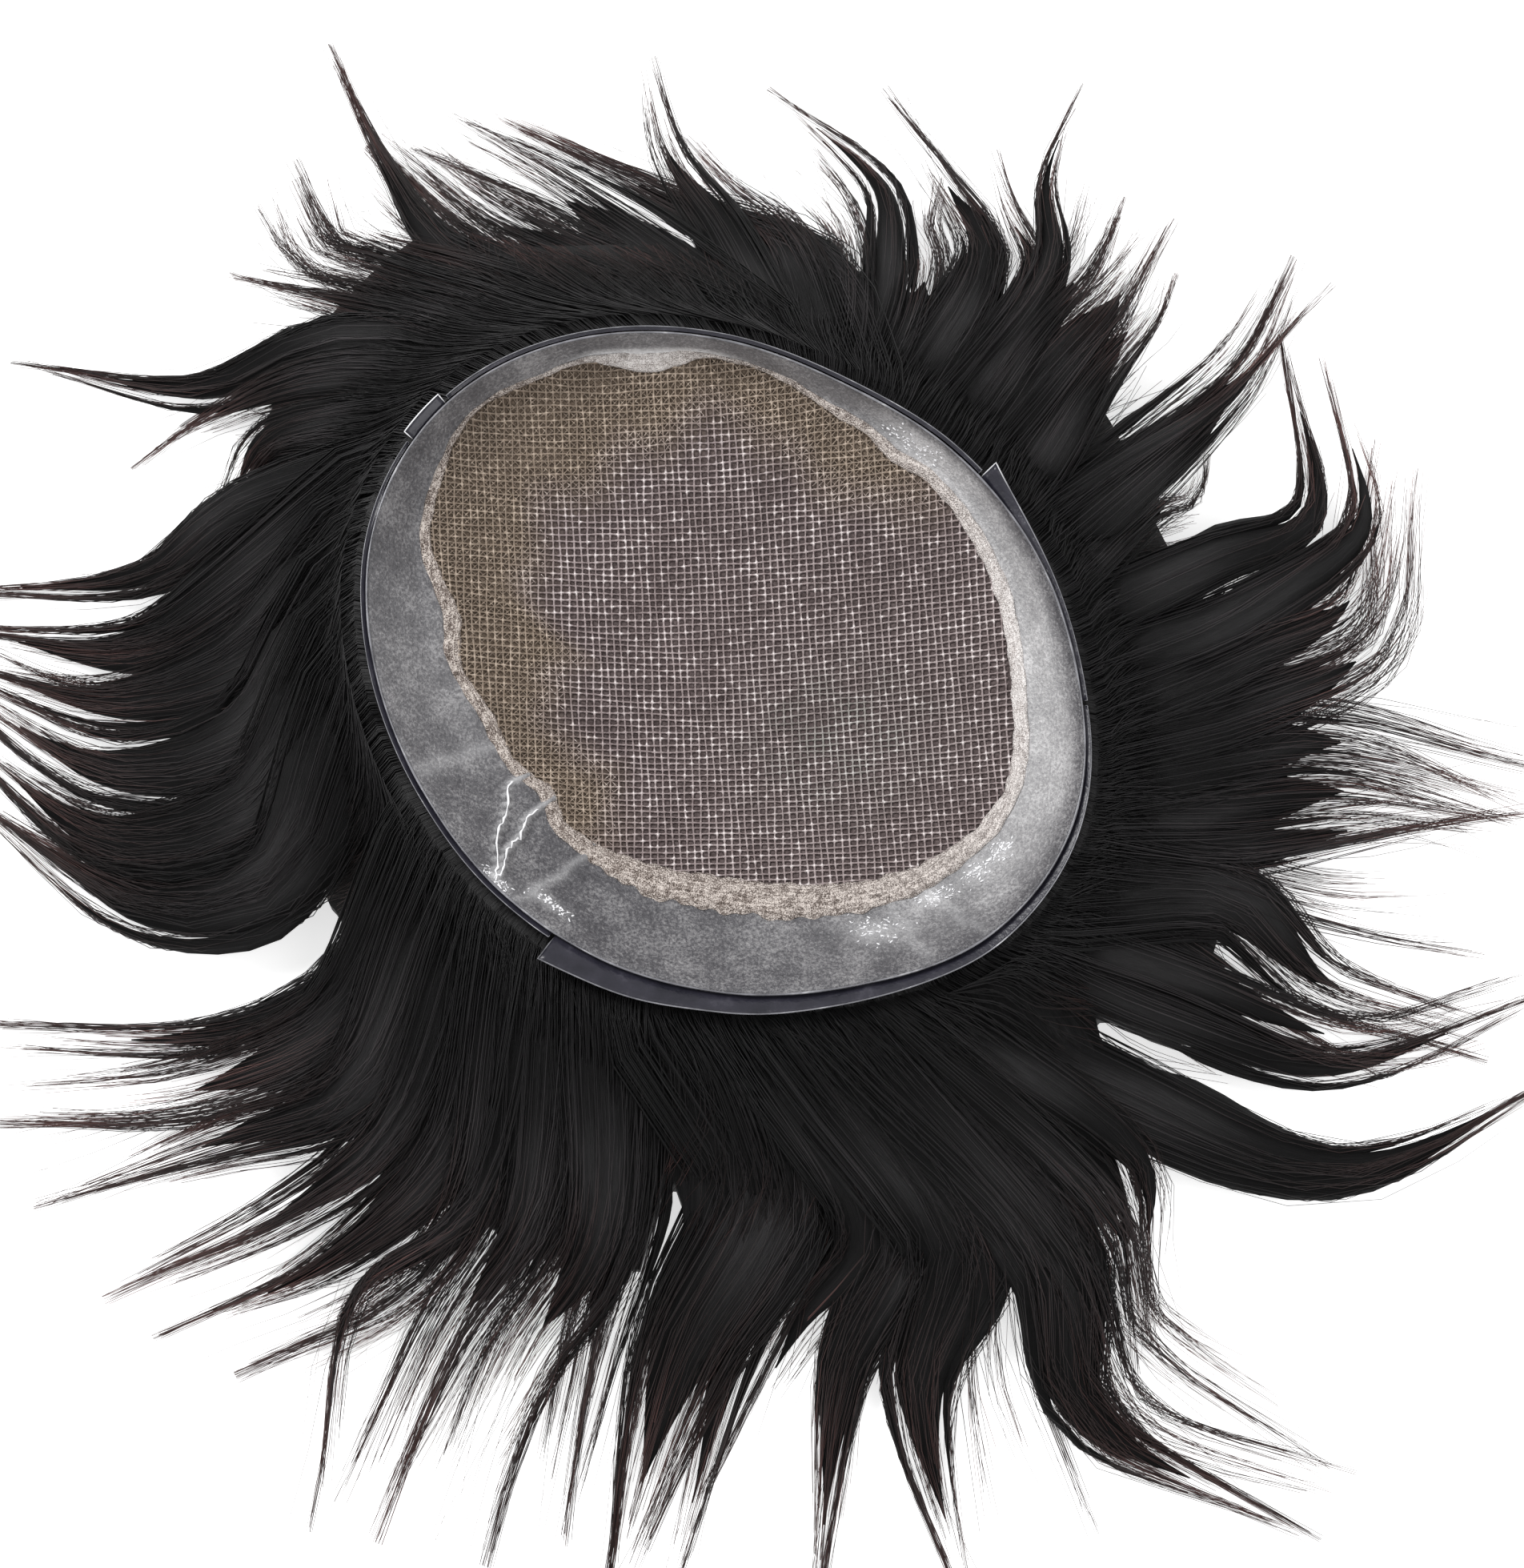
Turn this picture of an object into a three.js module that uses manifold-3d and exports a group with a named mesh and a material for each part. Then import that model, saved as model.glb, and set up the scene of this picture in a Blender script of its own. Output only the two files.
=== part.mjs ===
// A toupee lying crown down: a net bowl, a seam band, a clear film perimeter with tape strips, and splayed hair.
import * as THREE from 'three';
import { mergeVertices } from 'three/addons/utils/BufferGeometryUtils.js';
import Module from 'manifold-3d';

const wasm = await Module();
wasm.setup();

// Sizes of the base, in millimetres
const BASE_LENGTH = 214;
const BASE_WIDTH = 176;
const FRONT_TURN = 135;
const RIM_HEIGHT = 51;
const RIM_LEAN = 2.7;
const SEAM_HEIGHT = 39;
const SEAM_LEAN = 4.3;
const NET_DROP = 3;
const CROWN_HEIGHT = 18;
const TAPE_FLARE = 25;
const TAPE_PROUD = 10;

// Walls and the clearance between neighbours
const NET_WALL = 1;
const SEAM_WALL = 1.4;
const FILM_WALL = 1;
const TAPE_WALL = 0.8;
const GAP = 0.3;

// Curvature of the bowl and of the film wall, as powers of the way out
const BOWL_POWER = 1.6;
const FILM_POWER = 1.25;

// Sizes of the hair
const HAIR_REACH = 150;
const HAIR_BEHIND_RIM = 3;
const LOCK_WIDTH = 40;
const LOCK_THICKNESS = 15;
const LOCK_ROOT_OUT = 12;
const TIP_THICKNESS = 1.6;

// Steps of the meshes
const STEPS_ROUND = 64;
const NET_RINGS = [0.35, 0.62, 0.83];
const FILM_SHARES = [0, 0.33, 0.67, 1];
const LOCK_STEPS = 7;

// How far in the tape reaches under the film, and where the hair makes room for it, as shares of the film's width
const TAPE_INNER = 0.4;
const TAPE_ROOM = 0.3;
const FILM_LAST = 0.8;

// Sections of the base every 22.5 degrees of turn: rim is a share of the oval's radius, seam and net are shares of
// the rim's radius, and mat is the hair mass outside the rim as a share of the hair's reach
const SECTIONS = [
  { turn: 0, rim: 1.006, seam: 0.876, net: 0.817, mat: 0.33 },
  { turn: 22.5, rim: 1.02, seam: 0.925, net: 0.863, mat: 0.28 },
  { turn: 45, rim: 1.012, seam: 0.962, net: 0.908, mat: 0.35 },
  { turn: 67.5, rim: 0.983, seam: 0.975, net: 0.93, mat: 0.32 },
  { turn: 90, rim: 0.99, seam: 0.985, net: 0.95, mat: 0.34 },
  { turn: 112.5, rim: 1.004, seam: 0.98, net: 0.955, mat: 0.43 },
  { turn: 135, rim: 1.02, seam: 0.965, net: 0.935, mat: 0.37 },
  { turn: 157.5, rim: 1.018, seam: 0.895, net: 0.82, mat: 0.3 },
  { turn: 180, rim: 0.999, seam: 0.81, net: 0.735, mat: 0.3 },
  { turn: 202.5, rim: 0.989, seam: 0.757, net: 0.68, mat: 0.21 },
  { turn: 225, rim: 0.989, seam: 0.74, net: 0.665, mat: 0.38 },
  { turn: 247.5, rim: 0.973, seam: 0.7, net: 0.615, mat: 0.47 },
  { turn: 270, rim: 0.941, seam: 0.682, net: 0.592, mat: 0.45 },
  { turn: 292.5, rim: 0.924, seam: 0.73, net: 0.63, mat: 0.48 },
  { turn: 315, rim: 0.972, seam: 0.803, net: 0.693, mat: 0.38 },
  { turn: 337.5, rim: 1.007, seam: 0.858, net: 0.787, mat: 0.3 },
];

// Scallops of the net's edge at the front: deep is a share of the rim's radius, span is in degrees
const DIPS = [
  { at: 54, deep: 0.03, span: 6 },
  { at: 70, deep: 0.02, span: 6 },
  { at: 104, deep: 0.035, span: 6 },
  { at: 121, deep: 0.03, span: 7 },
  { at: 143, deep: 0.03, span: 6 },
  { at: 165, deep: 0.06, span: 7 },
  { at: 188, deep: 0.025, span: 7 },
  { at: 212, deep: 0.045, span: 6 },
];

// Tape strips: turns of their ends, how far they stand past the rim there as shares of TAPE_PROUD, and the power of
// the way along at which one passes into the other
const TAPES = [
  { name: 'tape_back', from: 238.5, to: 354, start: 0.9, end: 0.1, ease: 0.7 },
  { name: 'tape_left', from: -5.2, to: 37.8, start: 0.12, end: 0.6, ease: 5 },
  { name: 'tape_front', from: 38.6, to: 134.6, start: 0.16, end: 0.16, ease: 1 },
  { name: 'tape_step', from: 135.4, to: 142.6, start: 0.34, end: 0.34, ease: 1 },
  { name: 'tape_right', from: 143.4, to: 237.7, start: 0.12, end: 0.12, ease: 1 },
];

// The hair mass outside the rim: out is a share of the mat's reach, high a share of the rim's height
const MAT_PROFILE = [
  { out: 0, high: 0.9 },
  { out: 0.16, high: 0.83 },
  { out: 0.42, high: 0.62 },
  { out: 0.72, high: 0.37 },
  { out: 1, high: 0.15 },
];

// Quarters of the hair: the turns between which each one is rooted
const QUARTERS = [
  { name: 'hair_front', from: 90, to: 174.375 },
  { name: 'hair_left_side', from: 0, to: 90 },
  { name: 'hair_right_side', from: 174.375, to: 264.375 },
  { name: 'hair_back', from: 264.375, to: 360 },
];

// Locks, in order of turn. at is the turn of the root; bend and tip are turns of the middle and the end, with their
// reach past the rim as a share of HAIR_REACH; wide is a share of LOCK_WIDTH
const LOCKS = [
  { at: 4, bend: 16, bendOut: 0.58, tip: 32, tipOut: 0.75, wide: 0.6 },
  { at: 12, bend: 20, bendOut: 0.52, tip: 33, tipOut: 0.72, wide: 0.5 },
  { at: 25, bend: 34, bendOut: 0.48, tip: 41, tipOut: 0.82, wide: 0.7 },
  { at: 34, bend: 41, bendOut: 0.46, tip: 46, tipOut: 0.64, wide: 0.6 },
  { at: 43, bend: 48, bendOut: 0.49, tip: 50, tipOut: 0.74, wide: 0.75 },
  { at: 50, bend: 58, bendOut: 0.6, tip: 62, tipOut: 0.84, wide: 0.6 },
  { at: 56, bend: 62, bendOut: 0.5, tip: 68, tipOut: 0.68, wide: 0.6 },
  { at: 64, bend: 70, bendOut: 0.44, tip: 76, tipOut: 0.68, wide: 0.5 },
  { at: 70, bend: 76, bendOut: 0.46, tip: 86, tipOut: 0.64, wide: 0.55 },
  { at: 77, bend: 91, bendOut: 0.46, tip: 109, tipOut: 0.66, wide: 0.8 },
  { at: 86, bend: 96, bendOut: 0.46, tip: 99, tipOut: 0.7, wide: 0.65 },
  { at: 93, bend: 107, bendOut: 0.48, tip: 120, tipOut: 0.6, wide: 0.8 },
  { at: 103, bend: 116, bendOut: 0.52, tip: 125, tipOut: 0.68, wide: 0.7 },
  { at: 112, bend: 122, bendOut: 0.55, tip: 120, tipOut: 0.84, wide: 0.7 },
  { at: 122, bend: 133, bendOut: 0.46, tip: 140, tipOut: 0.62, wide: 0.75 },
  { at: 131, bend: 144, bendOut: 0.46, tip: 152, tipOut: 0.8, wide: 0.65 },
  { at: 140, bend: 150, bendOut: 0.38, tip: 157, tipOut: 0.55, wide: 0.7 },
  { at: 149, bend: 161, bendOut: 0.45, tip: 169, tipOut: 0.76, wide: 0.65 },
  { at: 160, bend: 175, bendOut: 0.5, tip: 171, tipOut: 0.82, wide: 0.9 },
  { at: 168, bend: 185, bendOut: 0.48, tip: 179, tipOut: 0.84, wide: 0.8 },
  { at: 178, bend: 196, bendOut: 0.45, tip: 186, tipOut: 0.84, wide: 0.9 },
  { at: 187, bend: 203, bendOut: 0.38, tip: 194, tipOut: 0.78, wide: 0.7 },
  { at: 205, bend: 213, bendOut: 0.6, tip: 203, tipOut: 0.9, wide: 0.7 },
  { at: 212, bend: 219, bendOut: 0.66, tip: 210, tipOut: 0.98, wide: 0.8 },
  { at: 219, bend: 226, bendOut: 0.68, tip: 219, tipOut: 1, wide: 0.7 },
  { at: 226, bend: 235, bendOut: 0.58, tip: 229, tipOut: 0.92, wide: 0.85 },
  { at: 234, bend: 242, bendOut: 0.7, tip: 243, tipOut: 1.08, wide: 0.8 },
  { at: 241, bend: 252, bendOut: 0.68, tip: 253, tipOut: 1, wide: 0.85 },
  { at: 250, bend: 262, bendOut: 0.64, tip: 260, tipOut: 1.1, wide: 0.8 },
  { at: 258, bend: 271, bendOut: 0.62, tip: 266, tipOut: 1.12, wide: 1 },
  { at: 267, bend: 277, bendOut: 0.7, tip: 275, tipOut: 1.05, wide: 0.65 },
  { at: 274, bend: 284, bendOut: 0.7, tip: 285, tipOut: 1.12, wide: 0.8 },
  { at: 280, bend: 290, bendOut: 0.72, tip: 292, tipOut: 1.1, wide: 0.7 },
  { at: 286, bend: 296, bendOut: 0.8, tip: 307, tipOut: 1.14, wide: 0.85 },
  { at: 295, bend: 305, bendOut: 0.7, tip: 309, tipOut: 1.06, wide: 0.85 },
  { at: 306, bend: 316, bendOut: 0.58, tip: 334, tipOut: 0.95, wide: 0.75 },
  { at: 314, bend: 324, bendOut: 0.56, tip: 338, tipOut: 0.9, wide: 0.6 },
  { at: 322, bend: 332, bendOut: 0.6, tip: 341, tipOut: 0.92, wide: 0.7 },
  { at: 331, bend: 338, bendOut: 0.56, tip: 345, tipOut: 0.84, wide: 0.7 },
  { at: 339, bend: 346, bendOut: 0.6, tip: 349, tipOut: 0.9, wide: 0.7 },
  { at: 346, bend: 356, bendOut: 0.66, tip: 356, tipOut: 0.9, wide: 0.9 },
  { at: 352, bend: 369, bendOut: 0.7, tip: 384, tipOut: 0.75, wide: 0.85 },
];

// The middle line of a lock: turn and out run from 0 at its root through 1 at its bend to 2 at its tip, and high is a
// share of the rim's height
const LOCK_LINE = [
  { turn: 0, out: 0, high: 0.66 },
  { turn: 0.35, out: 0.45, high: 0.5 },
  { turn: 1, out: 1, high: 0.22 },
  { turn: 1.45, out: 1.55, high: 0.12 },
  { turn: 2, out: 2, high: 0.03 },
];

// How a lock narrows towards its tip, as a power of the way along it
const LOCK_TAPER = 2.3;

// Section of a lock, five corners: across and up, as shares of its half width and half thickness
const LOCK_SECTION = [
  { across: 1, up: -0.25 },
  { across: 0.5, up: 0.95 },
  { across: -0.5, up: 0.95 },
  { across: -1, up: -0.25 },
  { across: 0, up: -1 },
];

const radians = THREE.MathUtils.degToRad;
const lerp = THREE.MathUtils.lerp;

// A column of the sections table at any turn, as a smooth closed curve through its rows
function around(turn, column) {
  const count = SECTIONS.length;
  const place = (((turn % 360) + 360) % 360) / (360 / count);
  const row = Math.floor(place);
  const t = place - row;
  const [a, b, c, d] = [-1, 0, 1, 2].map((k) => SECTIONS[(row + k + count) % count][column]);
  return b + 0.5 * t * (c - a + t * (2 * a - 5 * b + 4 * c - d + t * (3 * (b - c) + d - a)));
}

function rimRadius(turn) {
  const angle = radians(turn - FRONT_TURN);
  const oval = 1 / Math.hypot(Math.cos(angle) / (BASE_LENGTH / 2), Math.sin(angle) / (BASE_WIDTH / 2));
  return oval * around(turn, 'rim');
}

function rimHeight(turn) {
  return RIM_HEIGHT + RIM_LEAN * Math.sin(radians(turn));
}

function seamHeight(turn) {
  return SEAM_HEIGHT + SEAM_LEAN * Math.sin(radians(turn));
}

// How far the scallops pull the net's edge in at a turn, as a share of the rim's radius
function dip(turn) {
  const away = (at) => ((((turn - at + 180) % 360) + 360) % 360) - 180;
  return DIPS.reduce((sum, row) => sum + row.deep * Math.exp(-((away(row.at) / row.span) ** 2)), 0);
}

function netRadius(turn) {
  return rimRadius(turn) * (around(turn, 'net') - dip(turn));
}

function seamRadius(turn) {
  return rimRadius(turn) * (around(turn, 'seam') - dip(turn) / 2);
}

function polar(turn, radius, height) {
  return new THREE.Vector3(radius * Math.cos(radians(turn)), radius * Math.sin(radians(turn)), height);
}

function seamWidth(turn) {
  return Math.hypot(seamRadius(turn) - netRadius(turn), NET_DROP);
}

function filmWidth(turn) {
  return Math.hypot(rimRadius(turn) - seamRadius(turn), rimHeight(turn) - seamHeight(turn));
}

// A point on the inner face of the base. way runs from 0 at the crown through 1 at the net's edge and 2 at the
// seam's to 3 at the rim, and past it where the tape goes on
function basePoint(turn, way) {
  const netEdge = seamHeight(turn) - NET_DROP;
  if (way <= 1) {
    return polar(turn, netRadius(turn) * way, lerp(CROWN_HEIGHT, netEdge, way ** BOWL_POWER));
  }
  if (way <= 2) {
    return polar(turn, lerp(netRadius(turn), seamRadius(turn), way - 1), lerp(netEdge, seamHeight(turn), way - 1));
  }
  const out = Math.min(way - 2, 1);
  const past = Math.max(way - 3, 0) * filmWidth(turn);
  const radius = lerp(seamRadius(turn), rimRadius(turn), out) + past * Math.cos(radians(TAPE_FLARE));
  const height = lerp(seamHeight(turn), rimHeight(turn), out ** FILM_POWER) + past * Math.sin(radians(TAPE_FLARE));
  return polar(turn, radius, height);
}

// Unit normal of the base, towards the open side
function baseNormal(turn, way) {
  const wayStep = 0.02;
  const turnStep = 1;
  const out = basePoint(turn, way + wayStep).sub(basePoint(turn, Math.max(way - wayStep, 0.001)));
  const round = basePoint(turn + turnStep, way).sub(basePoint(turn - turnStep, way));
  return way === 0 ? new THREE.Vector3(0, 0, 1) : out.cross(round).normalize();
}

function below(turn, way, depth) {
  return basePoint(turn, way).addScaledVector(baseNormal(turn, way), -depth);
}

// Six times the volume inside a closed set of triangles, negative where they face inwards
function signedVolume(points, triangles) {
  let sum = 0;
  for (let k = 0; k < triangles.length; k += 3) {
    const [a, b, c] = triangles.slice(k, k + 3).map((index) => points[index]);
    sum += a.dot(b.clone().cross(c));
  }
  return sum;
}

// A mesh whose faces point out
function meshFrom(points, triangles) {
  const geometry = new THREE.BufferGeometry();
  geometry.setAttribute('position', new THREE.Float32BufferAttribute(points.flatMap((p) => p.toArray()), 3));
  geometry.setIndex(signedVolume(points, triangles) < 0 ? triangles.toReversed() : triangles);
  return geometry;
}

// The two triangles of a quad whose corners run counter-clockwise seen from outside
function quad(a, b, c, d) {
  return [a, b, c, a, c, d];
}

// A closed solid from rows of points, each row a closed loop; round rows join up again
function loft(rows, round) {
  const size = rows[0].length;
  const points = rows.flat();
  const triangles = [];
  const last = round ? rows.length : rows.length - 1;
  for (let row = 0; row < last; row += 1) {
    const here = row * size;
    const next = ((row + 1) % rows.length) * size;
    for (let k = 0; k < size; k += 1) {
      const far = (k + 1) % size;
      triangles.push(...quad(here + k, here + far, next + far, next + k));
    }
  }
  if (!round) {
    for (const [start, flip] of [[0, true], [(rows.length - 1) * size, false]]) {
      const face = THREE.ShapeUtils.triangulateShape(flatten(points.slice(start, start + size)), []);
      for (const [a, b, c] of face) {
        triangles.push(...(flip ? [start + c, start + b, start + a] : [start + a, start + b, start + c]));
      }
    }
  }
  return meshFrom(points, triangles);
}

// A loop of points as a flat outline in its own plane, counter-clockwise
function flatten(loop) {
  const normal = new THREE.Vector3();
  loop.forEach((p, k) => normal.add(p.clone().cross(loop[(k + 1) % loop.length])));
  normal.normalize();
  const side = Math.abs(normal.z) > 0.9 ? new THREE.Vector3(1, 0, 0) : new THREE.Vector3(0, 0, 1);
  const u = side.cross(normal).normalize();
  const v = normal.clone().cross(u);
  return loop.map((p) => new THREE.Vector2(p.dot(u), p.dot(v)));
}

function turnsRound() {
  return Array.from({ length: STEPS_ROUND }, (_, k) => (360 * k) / STEPS_ROUND);
}

// Turns of a stretch: its ends and the steps of the full circle between them
function turnsBetween(from, to) {
  const step = 360 / STEPS_ROUND;
  const turns = [from];
  for (let k = Math.ceil(from / step + 0.2); k * step < to - 0.2 * step; k += 1) {
    turns.push(k * step);
  }
  return [...turns, to];
}

// The net: an inner and an outer face that meet at the crown, and the edge between them
function netBase() {
  const edge = (turn) => 1 - GAP / 2 / netRadius(turn);
  const faces = [0, NET_WALL].map((depth) => ({
    crown: below(0, 0, depth),
    rings: [...NET_RINGS, 1].map((share) => turnsRound().map((turn) => below(turn, share * edge(turn), depth))),
  }));
  const points = faces.flatMap((face) => [face.crown, ...face.rings.flat()]);
  const size = STEPS_ROUND;
  const faceSize = 1 + size * (NET_RINGS.length + 1);
  const triangles = [];
  for (let k = 0; k < size; k += 1) {
    const far = (k + 1) % size;
    triangles.push(0, 1 + k, 1 + far, faceSize, faceSize + 1 + far, faceSize + 1 + k);
    for (let ring = 0; ring < NET_RINGS.length; ring += 1) {
      const here = 1 + ring * size;
      const next = here + size;
      triangles.push(...quad(here + k, next + k, next + far, here + far));
      triangles.push(...quad(faceSize + here + k, faceSize + here + far, faceSize + next + far, faceSize + next + k));
    }
    const edgeRing = 1 + NET_RINGS.length * size;
    triangles.push(...quad(edgeRing + k, faceSize + edgeRing + k, faceSize + edgeRing + far, edgeRing + far));
  }
  return meshFrom(points, triangles);
}

// A wall of the base, as loops of its cross-section through the given ways
function wallRows(turns, waysAt, depth, wall) {
  return turns.map((turn) => {
    const ways = waysAt(turn);
    return [
      ...ways.map((way) => below(turn, way, depth)),
      ...ways.reverse().map((way) => below(turn, way, depth + wall)),
    ];
  });
}

function seamBand() {
  const half = (turn) => GAP / 2 / seamWidth(turn);
  return loft(wallRows(turnsRound(), (turn) => [1 + half(turn), 2 - half(turn)], 0, SEAM_WALL), true);
}

function filmPerimeter() {
  const ways = (turn) => FILM_SHARES.map((share) => lerp(2 + GAP / 2 / filmWidth(turn), 3, share));
  return loft(wallRows(turnsRound(), ways, 0, FILM_WALL), true);
}

function tape({ from, to, start, end, ease }) {
  const along = (turn) => ((turn - from) / (to - from)) ** ease;
  const proud = (turn) => (TAPE_PROUD * lerp(start, end, along(turn))) / filmWidth(turn);
  const under = [TAPE_INNER, ...FILM_SHARES.filter((share) => share > TAPE_INNER)];
  const ways = (turn) => [...under.map((share) => 2 + share), 3 + proud(turn)];
  return loft(wallRows(turnsBetween(from, to), ways, FILM_WALL + GAP, TAPE_WALL), false);
}

// The hair pressed under the net, down to the flat that the piece lies on
function hairCrown() {
  const edge = (turn) => 1 - GAP / 2 / netRadius(turn);
  const rings = [...NET_RINGS, 1].map((share) => turnsRound().map((t) => below(t, share * edge(t), NET_WALL + GAP)));
  const foot = rings.at(-1).map((p) => new THREE.Vector3(p.x, p.y, 0));
  const points = [below(0, 0, NET_WALL + GAP), ...rings.flat(), ...foot, new THREE.Vector3()];
  const size = STEPS_ROUND;
  const triangles = [];
  for (let k = 0; k < size; k += 1) {
    const far = (k + 1) % size;
    triangles.push(0, 1 + k, 1 + far);
    for (let ring = 0; ring < rings.length; ring += 1) {
      const here = 1 + ring * size;
      triangles.push(...quad(here + k, here + size + k, here + size + far, here + far));
    }
    const footRing = 1 + rings.length * size;
    triangles.push(points.length - 1, footRing + far, footRing + k);
  }
  return meshFrom(points, triangles);
}

// A quarter of the hair mass: under the seam and the film, then over the rim's back and down to its edge
function matRows(from, to, grow) {
  return turnsBetween(from, to).map((turn) => {
    const inner = below(turn, 1 + GAP / seamWidth(turn), SEAM_WALL + GAP);
    inner.addScaledVector(polar(turn, 1, 0), GAP - grow);
    const tapeDepth = FILM_WALL + TAPE_WALL + 3 * GAP;
    const out = MAT_PROFILE.map((row) => {
      const reach = around(turn, 'mat') * HAIR_REACH * row.out;
      return polar(turn, rimRadius(turn) + HAIR_BEHIND_RIM + reach + grow, rimHeight(turn) * row.high + grow);
    });
    return [
      new THREE.Vector3(inner.x, inner.y, 0),
      out.at(-1).clone().setZ(0),
      ...out.reverse(),
      below(turn, 2 + FILM_LAST, tapeDepth),
      below(turn, 2 + TAPE_ROOM, tapeDepth),
      below(turn, 2, SEAM_WALL + GAP),
      inner,
    ];
  });
}

// A value part of the way from a root's through a bend's to a tip's
function through(root, bend, tip, way) {
  return way <= 1 ? lerp(root, bend, way) : lerp(bend, tip, way - 1);
}

// The middle line of a lock: from inside the mass, over its edge and down to the floor
function lockCurve(lock) {
  const points = LOCK_LINE.map((row) => {
    const turn = through(lock.at, lock.bend, lock.tip, row.turn);
    const out = through(LOCK_ROOT_OUT, lock.bendOut * HAIR_REACH, lock.tipOut * HAIR_REACH, row.out);
    return polar(turn, rimRadius(turn) + out, row.high * RIM_HEIGHT);
  });
  return new THREE.CatmullRomCurve3(points, false, 'centripetal');
}

// A lock: a lens-shaped section that narrows to the tip, never lower than the floor
function lockSolid(lock, grow) {
  const curve = lockCurve(lock);
  const rows = [];
  for (let k = 0; k <= LOCK_STEPS; k += 1) {
    const t = k / LOCK_STEPS;
    const middle = curve.getPointAt(t);
    const side = new THREE.Vector3(0, 0, 1).cross(curve.getTangentAt(t)).normalize();
    const taper = 1 - t ** LOCK_TAPER;
    const halfWidth = Math.max((lock.wide * LOCK_WIDTH * taper) / 2, TIP_THICKNESS / 2) + grow;
    const halfThickness = Math.min(Math.max((LOCK_THICKNESS * taper) / 2, TIP_THICKNESS / 2), middle.z) + grow;
    rows.push(LOCK_SECTION.map(({ across, up }) => {
      const corner = middle.clone().addScaledVector(side, across * halfWidth);
      return corner.setZ(Math.max(middle.z + up * halfThickness, 0));
    }));
  }
  return loft(rows.reverse(), false);
}

function toManifold(geometry) {
  const merged = mergeVertices(geometry, 1e-4);
  return new wasm.Manifold(new wasm.Mesh({
    numProp: 3,
    vertProperties: Float32Array.from(merged.attributes.position.array),
    triVerts: Uint32Array.from(merged.index.array),
  }));
}

function toGeometry(solid) {
  const { vertProperties, triVerts } = solid.getMesh();
  const geometry = new THREE.BufferGeometry();
  geometry.setAttribute('position', new THREE.BufferAttribute(vertProperties, 3));
  geometry.setIndex([...triVerts]);
  return geometry;
}

function largest(solid) {
  return solid.decompose().reduce((best, piece) => (piece.volume() > best.volume() ? piece : best));
}

// A quarter's mass and the locks rooted in it, as one solid
function quarterSolid({ from, to }, grow) {
  const spread = radians(1) * BASE_WIDTH / 2;
  const mass = toManifold(loft(matRows(from - grow / spread, to + grow / spread, grow), false));
  const rooted = LOCKS.filter((lock) => lock.at >= from && lock.at < to);
  return rooted.reduce((solid, lock) => solid.add(toManifold(lockSolid(lock, grow))), mass);
}

// The quarters in turn, each cut back by the clearance where an earlier one lies over it
function hairQuarters() {
  const taken = [];
  return QUARTERS.map((quarter) => {
    const whole = taken.reduce((solid, other) => solid.subtract(other), quarterSolid(quarter, 0));
    taken.push(quarterSolid(quarter, GAP));
    return { name: quarter.name, geometry: toGeometry(largest(whole)) };
  });
}

const netThread = new THREE.MeshStandardMaterial({ color: 0x7a6a64, roughness: 0.7 });
const seamLace = new THREE.MeshStandardMaterial({ color: 0xb3a298, roughness: 0.65 });
const clearFilm = new THREE.MeshStandardMaterial({ color: 0x8e9096, roughness: 0.3 });
const clearTape = new THREE.MeshStandardMaterial({ color: 0x565863, roughness: 0.2 });
const blackHair = new THREE.MeshStandardMaterial({ color: 0x1a191b, roughness: 0.55 });

function piece(name, geometry, material) {
  const mesh = new THREE.Mesh(geometry, material);
  mesh.name = name;
  return mesh;
}

const toupee = new THREE.Group();
toupee.add(piece('net_base', netBase(), netThread));
toupee.add(piece('seam_band', seamBand(), seamLace));
toupee.add(piece('pu_perimeter', filmPerimeter(), clearFilm));
TAPES.forEach((row) => toupee.add(piece(row.name, tape(row), clearTape)));
toupee.add(piece('hair_crown', hairCrown(), blackHair));
hairQuarters().forEach(({ name, geometry }) => toupee.add(piece(name, geometry, blackHair)));

// The origin is on the floor, under the middle of the whole piece
const middle = new THREE.Box3().setFromObject(toupee).getCenter(new THREE.Vector3());
toupee.position.set(-middle.x, -middle.y, 0);

export default toupee;
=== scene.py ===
"""A toupee lying crown down on a pale floor: net, seam lace, clear film, tape strips and splayed hair."""

import math

import bpy
import numpy as np
from mathutils import Matrix, Vector


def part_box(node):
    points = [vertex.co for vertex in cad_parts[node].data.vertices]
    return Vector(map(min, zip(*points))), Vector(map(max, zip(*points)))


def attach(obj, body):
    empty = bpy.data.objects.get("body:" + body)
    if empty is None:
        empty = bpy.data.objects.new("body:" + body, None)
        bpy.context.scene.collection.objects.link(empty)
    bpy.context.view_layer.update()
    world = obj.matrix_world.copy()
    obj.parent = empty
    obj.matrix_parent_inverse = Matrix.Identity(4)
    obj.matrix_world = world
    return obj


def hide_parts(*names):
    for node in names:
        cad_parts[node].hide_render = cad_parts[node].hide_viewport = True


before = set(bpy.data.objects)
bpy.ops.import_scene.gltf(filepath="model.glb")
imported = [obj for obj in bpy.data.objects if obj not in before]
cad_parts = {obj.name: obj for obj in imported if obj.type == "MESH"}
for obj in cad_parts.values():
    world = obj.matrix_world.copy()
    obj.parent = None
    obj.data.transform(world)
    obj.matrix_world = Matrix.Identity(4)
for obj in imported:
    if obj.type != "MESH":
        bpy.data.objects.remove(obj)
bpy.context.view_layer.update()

MM = 0.001
SEED = 20

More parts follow.
